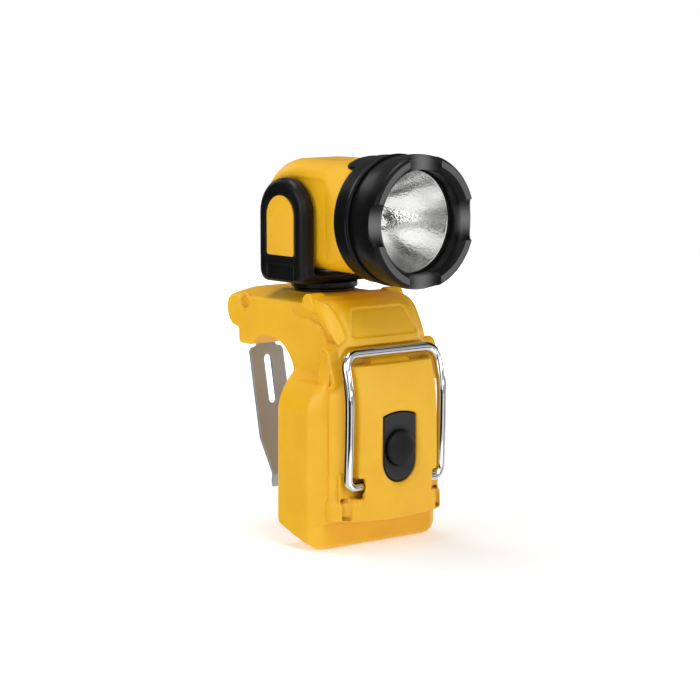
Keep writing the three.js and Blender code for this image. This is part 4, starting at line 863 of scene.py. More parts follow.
def rear_housing():
    shell = cut(body_form(), cover_zone(0))
    rooms = [
        block(-BAY_HALF, BAY_HALF, BAY_FRONT, DOOR_FACE + EDGE, BAY_LOW, BAY_HIGH),
        frontal(rounded(mirrored([(DOOR_HALF + GAP, DOOR_LOW - GAP, EDGE),
                                  (DOOR_HALF + GAP, DOOR_HIGH + GAP, 6)])),
                DOOR_FACE - GAP, CASE_REAR + OVERRUN),
        block(-20.2, 20.2, MID_FRONT - OVERRUN, 33.4, 90.7, 104.2),
        block(-28.2, 28.2, -18.6, MID_FRONT, 2.9, 17.0),
        overlap(cover_form(WALL),
                block(-COVER_HALF, COVER_HALF, -COVER_FRONT * 2, MID_FRONT, COVER_LIP, BODY_TOP)),
        rod(4.85, 100.4, BODY_TOP + OVERRUN, "z", (0, SWIVEL_BACK, 0)),
        block(-5.3, 5.3, DOOR_FACE, CASE_REAR + OVERRUN, DOOR_HIGH, DOOR_HIGH + 1.2),
        sideways(arc(*DOOR_HINGE[1:], 2.1, 0, QUARTER, 12) + [(2.9, 18.2), (10.9, 18.2), (10.9, 12.1)],
                 -31.95, 31.95),
        rod(1.1, -20.8, 20.8, "x", DOOR_HINGE),
    ]
    for x in HINGE_KNUCKLES:
        rooms.append(rod(2.4, x - 4.8, x + 4.8, "x", DOOR_HINGE))
        rooms.append(block(x - 4.8, x + 4.8, 0.5, CASE_REAR + OVERRUN, 12.1, 15.7))
        rooms.append(block(x - 4.8, x + 4.8, 2.9, CASE_REAR + OVERRUN, 9.7, 12.1))
    for x, z in COVER_SCREWS:
        rooms.append(rod(3.05, -15.94, BAY_FRONT + OVERRUN, "y", (x, 0, z)))
        rooms.append(rod(1.65, MID_FRONT - GAP, -13, "y", (x, 0, z)))
    for x in CLIP_SCREWS:
        rooms.append(rod(1.75, 45.8, 60, "y", (x, 0, CLIP_SCREW_RISE)))
    # Moulded marks on both sides of the beam: a ringed dimple at the hook's end, and the sunk field
    # beside the brow
    for side in (-1, 1):
        x0, x1 = sided(side, BEAM_HALF - 1.5, BEAM_HALF + OVERRUN)
        rooms.append(rod(2.8, x0, x1, "x", HOOK_DIMPLE))
    shell = cut(shell, *rooms, *sunk_fields(), *edge_beads(0.12))
    marks = []
    for side in (-1, 1):
        marks.append(turned([(2.8, side * 23.2), (4.2, side * 23.2), (4.2, side * 25.0), (3.5, side * 25.5),
                             (2.8, side * 25.0)], "x", HOOK_DIMPLE, 48))
    return soften(join(shell, *marks), 0.46, 5, 190000)


def bail_room():
    """The wire's channel across the cover, and the pockets and sockets of its feet."""
    clearance = BAIL_WIRE + GAP * 1.5
    channel = sideways(rounded([
        (-CHANNEL_DEPTH, PANEL_TOP, EDGE), (-COVER_FRONT * 1.6, PANEL_TOP, 0),
        (-COVER_FRONT * 1.6, CHANNEL_TOP + EDGE * 2.5, 0), (-CHANNEL_DEPTH, CHANNEL_TOP, EDGE),
    ]), -COVER_HALF - OVERRUN, COVER_HALF + OVERRUN)
    made = [channel]
    for side in (-1, 1):
        inner, outer = BAIL_FOOT + GAP + EDGE * 1.6, BAIL_HALF + clearance
        x0, x1 = sided(side, inner, outer)
        made.append(block(x0, x1, -COVER_FRONT * 2, -BAIL_PIVOT_FRONT + clearance,
                          BAIL_PIVOT_RISE - clearance * 2, BAIL_PIVOT_RISE + clearance * 1.6))
        x0, x1 = sided(side, BAIL_FOOT - GAP * 2, BAIL_HALF + BAIL_FOOT)
        made.append(rod(BAIL_WIRE + 0.35, x0, x1, "x", (0, -BAIL_PIVOT_FRONT, BAIL_PIVOT_RISE)))
        x0, x1 = sided(side, inner - 0.6, inner + 0.6)
        made.append(rod(BAIL_WIRE + 0.8, x0, x1, "x", (0, -BAIL_PIVOT_FRONT, BAIL_PIVOT_RISE)))
    return made


def plate_outline(grow, steps=24):
    """The switch plate: straight sides, an arched top and a rounded lower end."""
    half = PLATE_HALF + grow
    lower, top = PLATE_BOTTOM + half - grow, PLATE_TOP + grow
    radius = (half ** 2 + PLATE_ARCH ** 2) / (2 * PLATE_ARCH)
    swing = math.asin(half / radius)
    return (arc(0, lower, half, math.pi, TAU, steps)
            + arc(0, top - radius, radius, QUARTER - swing, QUARTER + swing, 16))


def sunk_fields():
    """The low field on each flank between the beam's ledge and the bead of the brow."""
    ledge = [(6.6, 104.0), (7.4, 101.0), (4.9, 98.9), (1.2, 97.9), (-5.2, 98.1), (-9.4, 96.3),
             (-13.4, 92.8), (-16.8, 88.8)]
    bead = [(-21.0, 88.6), (-22.1, 89.8), (-18.7, 93.7), (-14.7, 97.6), (-11.3, 100.6), (-5.6, 101.1),
            (-2.6, 103.4), (-1.4, 104.2)]
    low = BEAM_HALF - 1.1
    return [sideways(ledge + bead, *sided(side, low, low + OVERRUN * 2)) for side in (-1, 1)]


def edge_beads(grow):
    """The raised bead that starts in a knob on the beam and runs down each corner of the brow."""
    behind = [(-2.0, 105.0), (-2.9, 103.0), (-5.6, 101.1), (-11.3, 100.8), (-14.7, 97.6), (-18.7, 93.7),
              (-22.1, 89.8), (-23.6, 88.0)]
    before = [(-25.0, 89.6), (-25.4, 91.4), (-23.8, 94.7), (-21.9, 98.0), (-19.0, 102.0), (-14.6, 105.1),
              (-9.8, 106.3), (-5.4, 107.0)]
    middle = block(-16.5, 16.5, -40, 10, 80, 112)
    strips = cut(sideways([(y, z) for y, z in behind + before], -CASE_HALF, CASE_HALF), middle)
    bead = overlap(strips, cover_form(-0.95 - grow))
    knobs = [rod(3.5 + grow, *sided(side, 17.5, BEAM_HALF + 0.9 + grow), "x", (0, -4.7, 105.4))
             for side in (-1, 1)]
    return [bead, *knobs]


def front_cover():
    """The cover with its brow, its middle panel, the wire's channel and the opening for the switch."""
    solids = [panel_form()]
    loops = []
    for side in (-1, 1):
        low, high = (-24.2, 73.2), (-20.7, 84.4)
        solids.append(sideways(capsule(low, high, 3.7), *sided(side, 23.9, 30.3)))
        loops.append(sideways(capsule(low, high, 1.75), *sided(side, 28.3, 34)))
    outer = cut(overlap(join(body_form(), *solids), cover_zone(SEAM)), under_lip(GAP))
    outer = cut(outer, *sunk_fields())
    outer = join(outer, *edge_beads(0))
    # The tab in the middle of the panel's upper edge, under the wire
    tab = loft([[(x, y, z) for x, y in ((-half, front), (half, front), (half, -23), (-half, -23))]
                for z, half, front in ((76.0, 12.0, -32.0), (78.6, 11.8, -30.8), (82.8, 9.8, -27.4))])
    cavity = join(overlap(cover_form(WALL),
                          block(-COVER_HALF, COVER_HALF, -COVER_FRONT * 2, MID_FRONT, COVER_LIP, BODY_TOP)),
                  panel_form(WALL))
    through = frontal(plate_outline(PLATE_SEAM), PANEL_FACE - OVERRUN, PLATE_BACK + OVERRUN)
    flare = loft([[(x, y, z) for x, z in plate_outline(grow)] for grow, y in (
        (5.2, PANEL_FACE - 1.2), (3.6, PANEL_FACE), (2.6, PANEL_FACE + 0.6), (1.7, PANEL_FACE + 1.1),
        (0.7, PANEL_FACE + 1.7), (PLATE_SEAM, PLATE_FACE + 0.7))])
    field = cut(frontal(rounded(mirrored([(19.4, 90.9, 2.0), (14.6, BODY_TOP - 4.4, 2.4)])),
                        -COVER_FRONT * 2, -COVER_FRONT * 0.2),
                cover_form(0.8))
    slots = [cut(block(*sided(side, 23.6, 27.6), -COVER_FRONT * 2, -20, 14.2, 23.4), cover_form(1.4))
             for side in (-1, 1)]
    # Closed floors behind the wire's channel and behind the pockets of its feet
    skin, pocket_floor = 1.8, -29.3
    floors = [overlap(block(-24, 24, 0.1 - CHANNEL_DEPTH, 0.1 + skin - CHANNEL_DEPTH, 76.5,
                            CHANNEL_TOP + 1.5),
                      cover_form(0.5))]
    for side in (-1, 1):
        x0, x1 = sided(side, 15.5, 28.0)
        floors.append(block(x0, x1, pocket_floor, pocket_floor + skin + 0.1, 20.5, 34.0))
    shell = join(cut(outer, cavity, *bail_room()), tab, *floors)
    return soften(cut(shell, *loops, through, flare, field, *slots), 0.42, 4, 190000)


# Forms of the belt clip, bail and switch

def screw_form(head, height, shank, length, drive, name):
    """A pan head screw along Y with its head to the rear and a cross recess."""
    dome = [(head * math.cos(a), height * (0.35 + 0.65 * math.sin(a))) for a in np.linspace(0, QUARTER, 8)]
    body = turned([(0, -length), (shank * 0.4, -length), (shank, -length + shank * 1.6), (shank, 0),
                   (head, 0)] + dome[:-1]
                  + [(0, height)], "y", (0, 0, 0), 48, name)
    wings = [block(-drive, drive, height * 0.45, height + 1, -0.34, 0.34),
             block(-0.34, 0.34, height * 0.45, height + 1, -drive, drive)]
    return smooth(cut(body, *wings), 32)


def belt_clip():
    """The bent strap with its slot, seen from the front outline and the side outline together."""
    face, thickness = CLIP_FACE, 1.6
    low, top, bend, tip_bend, tip, neck = 44.9, 103.0, 78.0, 21.0, 15.2, 82.3
    strap = sideways(rounded([
        (face, top, 0), (face, bend, 9), (low, tip_bend, 5), (low + 2.6, tip, 0),
        (low + 2.6 + thickness, tip, 0), (low + thickness, tip_bend, 5), (face + thickness, bend, 9),
        (face + thickness, top, 0),
    ], 12), -15, 15)
    front = rounded(mirrored([
        (2.4, tip - EDGE, 2.4), (4.4, tip + 3, 1.2), (5.0, tip_bend + EDGE, 1.2), (9.4, tip_bend + 17, 5),
        (9.4, neck - 4.5, 2.2), (5.2, neck - 3.6, 1.0), (5.2, neck + 6, 1.2), (15, neck + 6, 2.4),
        (15, top, 2.4),
    ]), 10)
    slot = frontal(capsule((0, 54.85), (0, 72.55), 2.05), low - OVERRUN, face + OVERRUN)
    holes = [rod(1.75, face - OVERRUN, face + OVERRUN, "y", (x, 0, CLIP_SCREW_RISE))
             for x in CLIP_SCREWS]
    plate = cut(overlap(strap, frontal(front, low - OVERRUN, face + OVERRUN)), slot, *holes)
    return soften(plate, 0.32, 3, 120000)


def bail_path():
    """The wire's middle line from foot to foot: sockets, bowed legs and a top that lies back."""
    foot_bend, top_bend = 4.2, 6.5
    low, high = BAIL_PIVOT_RISE + foot_bend, BAIL_TOP - top_bend

    def lean(z):
        up = (z - BAIL_PIVOT_RISE) / (BAIL_TOP - BAIL_PIVOT_RISE)
        back = max(0, up - 0.62) / 0.38
        bow = 1.3 * math.sin(math.pi * min(up * 0.8, 1))
        return -BAIL_PIVOT_FRONT - bow + 3.2 * back * back * (1.6 - 0.6 * back)

    half = [(BAIL_FOOT + k, BAIL_PIVOT_RISE)
            for k in np.linspace(0, BAIL_HALF - foot_bend - BAIL_FOOT - 0.3, 5)]
    half += arc(BAIL_HALF - foot_bend, low, foot_bend, -QUARTER, 0, 14)
    half += [(BAIL_HALF, z) for z in np.linspace(low, high, 26)[1:-1]]
    half += arc(BAIL_HALF - top_bend, high, top_bend, 0, QUARTER, 18)
    half += [(x, BAIL_TOP) for x in np.linspace(BAIL_HALF - top_bend, 0, 10)[1:]]
    right = [Vector((x, lean(z), z)) for x, z in half]
    return right + [Vector((-p.x, p.y, p.z)) for p in reversed(right[:-1])]


def line_of(points, name):
    """A curve object through points."""
    data = bpy.data.curves.new(name, "CURVE")
    data.dimensions = "3D"
    spline = data.splines.new("POLY")
    spline.points.add(len(points) - 1)
    for spot, point in zip(spline.points, points):
        spot.co = (*(point * MM), 1)
    return linked(name, data)


def switch_plate():
    """A flat plate with a shallow dish round the button."""
    rows = [(0, PLATE_BACK), (0, PLATE_FACE + 0.45), (-0.14, PLATE_FACE + 0.13), (-0.45, PLATE_FACE)]
    plate = loft([[(x, y, z) for x, z in plate_outline(grow, 36)] for grow, y in rows])
    dish = turned([(0, PLATE_FACE - 3), (10.9, PLATE_FACE - 3), (10.9, PLATE_FACE), (10.2, PLATE_FACE + 0.2),
                   (9.0, PLATE_FACE + 0.55), (7.9, PLATE_FACE + 0.8), (0, PLATE_FACE + 0.8)], "y",
                   (0, 0, BUTTON_RISE), 128)
    hole = rod(BUTTON_DOME + 0.25, PLATE_FACE - OVERRUN, PLATE_BACK + OVERRUN, "y", (0, 0, BUTTON_RISE), 128)
    return smooth(cut(plate, dish, hole), 28)


def switch_button():
    """A rubber dome with a soft shoulder, its flange and its stem."""
    rim, crown, behind = PLATE_FACE - 0.6, PLATE_FACE - 2.7, PLATE_BACK + 0.3
    dome = [(BUTTON_DOME * math.sin(a), rim + (crown - rim) * math.cos(a) ** 0.8 if a < QUARTER - 1e-6
             else rim)
            for a in np.linspace(0, QUARTER, 20)]
    profile = dome + [(BUTTON_DOME, behind), (8.9, behind), (8.9, behind + 1.4), (2.6, behind + 1.4),
                      (2.6, behind + 5.6), (0, behind + 5.6)]
    return smooth(turned(profile, "y", (0, 0, BUTTON_RISE), 96), 40)


# Forms of the swivel, yoke and head

def label_outline(grow, steps):
    """The arched label in the yoke's arm, in Y and Z."""
    half = LABEL_HALF + grow
    low, high = TILT_RISE - LABEL_DROP - grow, TILT_RISE - 0.9
    corners = [(SWIVEL_BACK - half, high, 0), (SWIVEL_BACK - half, low, EDGE),
               (SWIVEL_BACK + half, low, EDGE), (SWIVEL_BACK + half, high, 0)]
    return rounded(corners) + arc(SWIVEL_BACK, high, half, 0, math.pi, steps)[1:-1]


def yoke_form():
    """The U of the turret: two thick arms with a wide rounding, and the marks on their outer faces."""
    near, far = SWIVEL_BACK - ARM_HALF, SWIVEL_BACK + ARM_HALF

    def outline(inset):
        made = rounded([
            (near + inset, TILT_RISE, 0), (near + inset, YOKE_FLOOR + inset * 0.9, 4.4),
            (far - inset, YOKE_FLOOR + inset * 0.9, 4.4), (far - inset, TILT_RISE, 0),
        ], 10)
        return made + arc(SWIVEL_BACK, TILT_RISE, ARM_HALF - inset, 0, math.pi, 40)[1:-1]

    fillet = 3.4
    ends = [(ARM_OUTER - fillet * (1 - math.sin(a)), fillet * (1 - math.cos(a)))
            for a in np.linspace(0, QUARTER, 9)]
    sides = [(-x, inset) for x, inset in reversed(ends)] + ends
    form = loft([[(x, y, z) for y, z in outline(inset)] for x, inset in sides])
    throat = frontal(rounded(mirrored([(ARM_INNER, YOKE_TOP, 2.4),
                                       (ARM_INNER, TILT_RISE + ARM_HALF + OVERRUN, 0)])),
                     near - OVERRUN, far + OVERRUN)
    cuts = [throat, rod(3.5, -ARM_OUTER, ARM_OUTER, "x", (0, SWIVEL_BACK, TILT_RISE)),
            rod(4.7, YOKE_FLOOR - OVERRUN, YOKE_TOP + OVERRUN, "z", (0, SWIVEL_BACK, 0))]
    for side in (-1, 1):
        far_out = side * (ARM_OUTER + OVERRUN)
        for shape, depth in ((label_outline(GAP, 32), 1.0), (label_outline(1.5, 32), 0.35)):
            x0, x1 = sorted((side * (ARM_OUTER - depth), far_out))
            cuts.append(sideways(shape, x0, x1))
        x0, x1 = sorted((side * 21.3, far_out - side * OVERRUN))
        cuts.append(rod(5.5, x0, x1, "x", (0, SWIVEL_BACK, TILT_RISE)))
        panel = rounded([(SWIVEL_BACK - 9.4, 113.9, 1.4), (SWIVEL_BACK + 9.4, 113.9, 1.4),
                         (SWIVEL_BACK + 9.4, 120.4, 1.0), (SWIVEL_BACK - 9.4, 120.4, 1.0)])
        x0, x1 = sorted((side * (ARM_OUTER - 0.55), far_out))
        cuts.append(sideways(panel, x0, x1))
    return soften(cut(form, *cuts), 0.45, 3, 150000)


def label_plate(side):
    """A bare film plate with a faintly rounded edge."""
    rows = [(24.3, 0), (24.85, 0), (24.96, 0.08), (25.0, 0.25)]
    return smooth(loft([[(side * x, y, z) for y, z in label_outline(-inset, 40)] for x, inset in rows]), 30)


HEAD_SHARES = [
    (-0.965, 0.5, 0.14, 0.2, 0.12), (-0.935, 0.76, 0.3, 0.36, 0.24), (-0.84, 0.92, 0.53, 0.58, 0.32),
    (-0.66, 1.0, 0.76, 0.79, 0.36), (-0.4, 1.0, 0.92, 0.94, 0.36), (-0.05, 1.0, 1.0, 1.0, 0.34),
    (0.4, 1.0, 1.0, 1.0, 0.35), (0.85, 1.01, 1.0, 1.02, 0.4),
]


def head_loft(inset):
    """The head from its round back to its round mouth."""
    def ring(y, half, low, high, corner):
        return [(x, y, z) for x, z in rounded(mirrored([(half, low, corner), (half, high, corner)]), 16)]
    rings = []
    rows = between(HEAD_SHARES, 4)
    for ahead, half, up, down, corner in rows:
        if inset and ahead < -0.9:
            continue
        half, up, down = min(half, 1.01), min(up, 1.0), min(down, 1.02)
        rings.append(ring(SWIVEL_BACK - HEAD_RADIUS * ahead, HEAD_HALF * half - inset,
                          TILT_RISE - HEAD_RADIUS * down + inset, TILT_RISE + HEAD_RADIUS * up - inset,
                          max(HEAD_RADIUS * corner - inset, 0.6)))
    start = SWIVEL_BACK - HEAD_RADIUS * 0.85
    mouth = MOUTH_RADIUS if inset == 0 else 21.9
    for share in np.linspace(0, 1, 13)[1:]:
        blend = 0.45 * share * share * (3 - 2 * share) + 0.55 * share

        def mix(a, b):
            return a + (b - a) * blend

        rings.append(ring(start + (-HEAD_MOUTH - start) * share, mix(HEAD_HALF * 1.01 - inset, mouth),
                          mix(TILT_RISE - HEAD_RADIUS * 1.02 + inset, BARREL_RISE - mouth),
                          mix(TILT_RISE + HEAD_RADIUS - inset, BARREL_RISE + mouth),
                          mix(HEAD_RADIUS * 0.4 - inset, mouth * 0.995)))
    return loft(rings)


BARREL = (0, 0, BARREL_RISE)


def barrel(profile, steps=160, name="form"):
    """A solid of revolution round the head's axis from (radius, distance in front of the origin) pairs."""
    return turned([(r, -front) for r, front in profile], "y", BARREL, steps, name)


def head_housing():
    spigot = barrel([(0, 20.8), (SPIGOT, 20.8), (SPIGOT, 39.8), (0, 39.8)])
    rooms = [head_loft(2.3), barrel([(0, 22.6), (21.9, 22.6), (21.9, 44), (0, 44)]),
             rod(3.65, -30, 30, "x", (0, SWIVEL_BACK, TILT_RISE)),
             block(-3, 3, 5, 25, TILT_RISE - HEAD_RADIUS - OVERRUN, TILT_RISE - HEAD_RADIUS * 0.7)]
    outline = rounded([(-7.6, 157.6, 4.5), (40, 157.6, 0), (40, 100, 0), (-9.4, 100, 0)], 8)
    sides = [sideways(outline, *span) for span in ((-20, -17.05), (17.05, 20))]
    return soften(cut(join(head_loft(0), spigot), *rooms, *sides), 0.6, 3, 180000)


def collar_ring():
    """The flanged ring behind the bezel, with its lug on top."""
    rear, front = COLLAR_REAR, COLLAR_FRONT
    ring = barrel([
        (24.45, rear), (26.8, rear), (27.15, rear + 0.15), (27.35, rear + 0.6), (27.45, rear + 2.4),
        (27.5, front - 3.0), (27.6, front - 2.2), (28.05, front - 1.4), (28.2, front - 0.9),
        (28.2, front - 0.35), (27.9, front - 0.05), (27.0, front), (24.45, front),
    ], 200)
    tongue = barrel([(25.4, 15.0), (25.9, 15.1), (26.4, 15.9), (26.65, 17.6), (26.7, 24.6), (25.4, 24.6)],
                    200)
    tongue = overlap(tongue,
                     upright(rounded([(-13.4, -30, 0), (13.4, -30, 0), (14.4, -14.8, 4.6),
                                      (-14.4, -14.8, 4.6)], 12),
                                     160, 172))
    return soften(join(ring, tongue), 0.36, 3, 150000)


def bezel_sector():
    """A quarter of the bezel with one scooped notch in its middle. Rows go round its section, columns
    round the axis."""
    full = [(24.45, 17.4), (26.6, 17.4), (27.0, 17.25), (27.15, 16.8), (27.45, 15.0), (28.0, 11.4),
            (28.42, 8.2),
            (28.58, 6.4), (28.6, 5.2), (28.6, 4.0), (28.6, 3.0), (28.56, 2.1), (28.42, 1.4), (28.16, 0.8),
            (27.84, 0.36),
            (27.5, 0.1), (27.2, 0.0), (26.3, 0.0), (25.4, 0.0), (24.6, 0.0), (24.35, 0.08), (24.1, 0.34),
            (23.6, 0.95),
            (23.1, 1.55), (22.7, 2.05), (22.4, 2.45), (22.2, 2.8), (22.1, 3.2), (22.1, 6.8), (22.9, 6.8),
            (22.9, 11.8), (24.45, 11.8)]
    low = [(24.45, 17.4), (26.6, 17.4), (27.0, 17.25), (27.15, 16.8), (27.45, 15.0), (28.0, 11.4),
           (28.42, 8.2),
           (28.5, 6.6), (28.5, 5.4), (28.48, 4.6), (28.42, 4.0), (28.3, 3.5), (28.12, 3.1), (27.88, 2.8),
           (27.6, 2.6),
           (27.3, 2.5), (27.0, 2.46), (26.2, 2.44), (25.4, 2.42), (24.7, 2.42), (24.2, 2.42), (23.8, 2.43),
           (23.3, 2.46),
           (22.9, 2.5), (22.6, 2.56), (22.4, 2.66), (22.2, 2.84), (22.1, 3.2), (22.1, 6.8), (22.9, 6.8),
           (22.9, 11.8), (24.45, 11.8)]
    chord = 8.8
    inside = [math.sin(t) for t in np.linspace(0, QUARTER, 22)]
    columns = [(s, 1 - math.sqrt(max(1 - s ** 3, 0))) for s in inside]
    columns += [(1 + k, 1.0) for k in (0.012, 0.05, 0.1, 0.2, 0.35, 0.5, 0.65, 0.8, 0.9, 1.0)]
    columns = [(-s, mix) for s, mix in reversed(columns[1:])] + columns
    points, highlight_paint = [], []
    count = len(full)
    for s, mix in columns:
        for (r1, d1), (r0, d0) in zip(full, low):
            across = abs(s)
            radius, depth = r0 + (r1 - r0) * mix, d0 + (d1 - d0) * mix
            edge = math.asin(chord / max(radius, 22.5))
            angle = edge * across if across <= 1 else edge + (math.pi / 4 - edge) * (across - 1)
            angle = math.copysign(angle, s)
            # Painted highlight: a layer that is strongest across the middle of each notch floor, which the
            # finish paints paler.
            highlight_paint.append(max(0.0, 1 - (across / 0.85) ** 2) ** 2 if r0 < 28.4 and 2 < d0 < 4 else 0.0)
            points.append((radius * math.sin(angle), -BEZEL_FRONT + depth, radius * math.cos(angle)))
    shape = bmesh.new()
    polish = shape.verts.layers.float.new("polish")
    spots = [shape.verts.new(Vector(p) * MM) for p in points]
    for spot, amount in zip(spots, highlight_paint):
        spot[polish] = amount
    mark = shape.faces.layers.bool.new("front_face")
    for k in range(len(columns) - 1):
        for j in range(count):
            n = (j + 1) % count
            face = shape.faces.new([spots[k * count + j], spots[k * count + n], spots[(k + 1) * count + n],
                                    spots[(k + 1) * count + j]])
            face[mark] = 16 <= j <= 18 and min(columns[k][1], columns[k + 1][1]) > 0.99
    bmesh.ops.recalc_face_normals(shape, faces=shape.faces)
    mesh = bpy.data.meshes.new("bezel_sector")
    shape.to_mesh(mesh)
    shape.free()
    return linked("bezel_sector", mesh)


def dish_row(place):
    """Radius of the reflector's dish at a share of its depth."""
    return math.sqrt(DISH_THROAT ** 2 + (DISH_RIM ** 2 - DISH_THROAT ** 2) * place)


def reflector_form():
    """The dish as a shell fine enough to take its dents."""
    steps = 150
    shares = [(k / steps) ** 1.6 for k in range(steps + 1)]
    inside = [(dish_row(share), DISH_REAR + DISH_DEPTH * share) for share in shares]
    profile = [(DISH_THROAT, 10.2)] + inside + [(LENS_RADIUS, 41.2), (LENS_RADIUS, 40.1), (21.3, 40.1)]
    profile += [(dish_row(s * s) + 0.7, DISH_REAR + DISH_DEPTH * s * s)
                for s in (0.95, 0.85, 0.7, 0.5, 0.3, 0.12, 0)] + [(5.1, 10.2)]
    return barrel(profile, 360, "reflector_dish")


def bulb_glass():
    """The envelope of the lamp: a small capsule with a drawn tip."""
    rear = 9.9 + 0.3
    outside = [(2.0, rear - 5), (2.0, rear + 0.3), (3.0, rear + 1.1), (3.0, rear + 7.4), (2.8, rear + 8.7),
               (2.2, rear + 9.8), (1.2, rear + 10.6), (0.0, rear + 10.9)]
    return smooth(barrel([(0, rear - 5)] + outside, 64, "lamp_glass"), 40)


# Settings shown in the panel

class WorklightColours(bpy.types.PropertyGroup):
    """Colours of the plastic pieces."""
    yellow: bpy.props.FloatVectorProperty(
        name="Yellow", description="Colour of the moulded body, as sRGB values", subtype="COLOR_GAMMA",
        size=3, min=0, max=1, default=(0.957, 0.737, 0.094))
    black: bpy.props.FloatVectorProperty(
        name="Black", description="Colour of the yoke and collar, as sRGB values", subtype="COLOR_GAMMA",
        size=3, min=0, max=1, default=(0.07, 0.07, 0.075))


class WorklightSizes(bpy.types.PropertyGroup):
    """Sizes of details that can change by themselves."""
    wire: bpy.props.FloatProperty(name="Bail wire radius", description="Radius of the bail's wire",
                                  unit="LENGTH", default=BAIL_WIRE * MM, min=0.001, max=0.003)
    dent: bpy.props.FloatProperty(name="Reflector dent size",
                                  description="Width of one dent in the reflector",
                                  unit="LENGTH", default=1.0 * MM, min=0.0005, max=0.004)
    dent_depth: bpy.props.FloatProperty(name="Reflector dent depth", description="Depth of the dents",
                                        unit="LENGTH", default=0.07 * MM, min=0, max=0.0004)


class WorklightStage(bpy.types.PropertyGroup):
    """Floor, lights and camera."""
    floor: bpy.props.FloatVectorProperty(name="Floor colour", description="Colour of the pale floor",
                                         subtype="COLOR", size=3, min=0, max=1, default=(0.86, 0.86, 0.86))
    light: bpy.props.FloatProperty(name="Light", description="Strength of all the lamps together",
                                   default=1.0, min=0)
    azimuth: bpy.props.FloatProperty(name="Azimuth", description="Turn of the camera round the light",
                                     unit="ROTATION", default=math.radians(-40))
    elevation: bpy.props.FloatProperty(name="Elevation", description="Rise of the camera", unit="ROTATION",
                                       default=math.radians(7.5))


# Screens that only reflections see. Each has its start and end turn from straight ahead in degrees,
# its near and far radius and the heights there in metres, and its glow. Black ones draw the dark
# lines in the chrome and keep the black pieces deep. Pale ones are what the reflector gathers.
SCREENS = (
    (-66, -14, 1.1, 1.1, -0.22, -0.01, 0.0),
    (-54, -30, 1.05, 1.05, -0.22, 0.34, 0.0),
    (30, 50, 1.1, 1.1, -0.25, -0.02, 0.0),
    (52, 112, 1.1, 1.1, 0.5, 1.25, 0.0),
    (-125, -95, 1.1, 1.1, -0.5, -0.02, 0.0),
    (-170, -110, 0.6, 0.62, -0.4, 0.5, 0.0),
    (-96, -68, 1.1, 1.1, 0.12, 0.75, 2.4),
    (-66, -2, 1.1, 1.1, 0.02, 1.3, 1.5),
    (-2, 24, 1.1, 1.1, 0.42, 1.2, 1.6),
    (28, 52, 1.1, 1.1, 0.0, 0.4, 0.6),
    (-24, 30, 1.1, 1.1, -1.2, -0.22, 1.8),
)


# Operators, one for each group of pieces

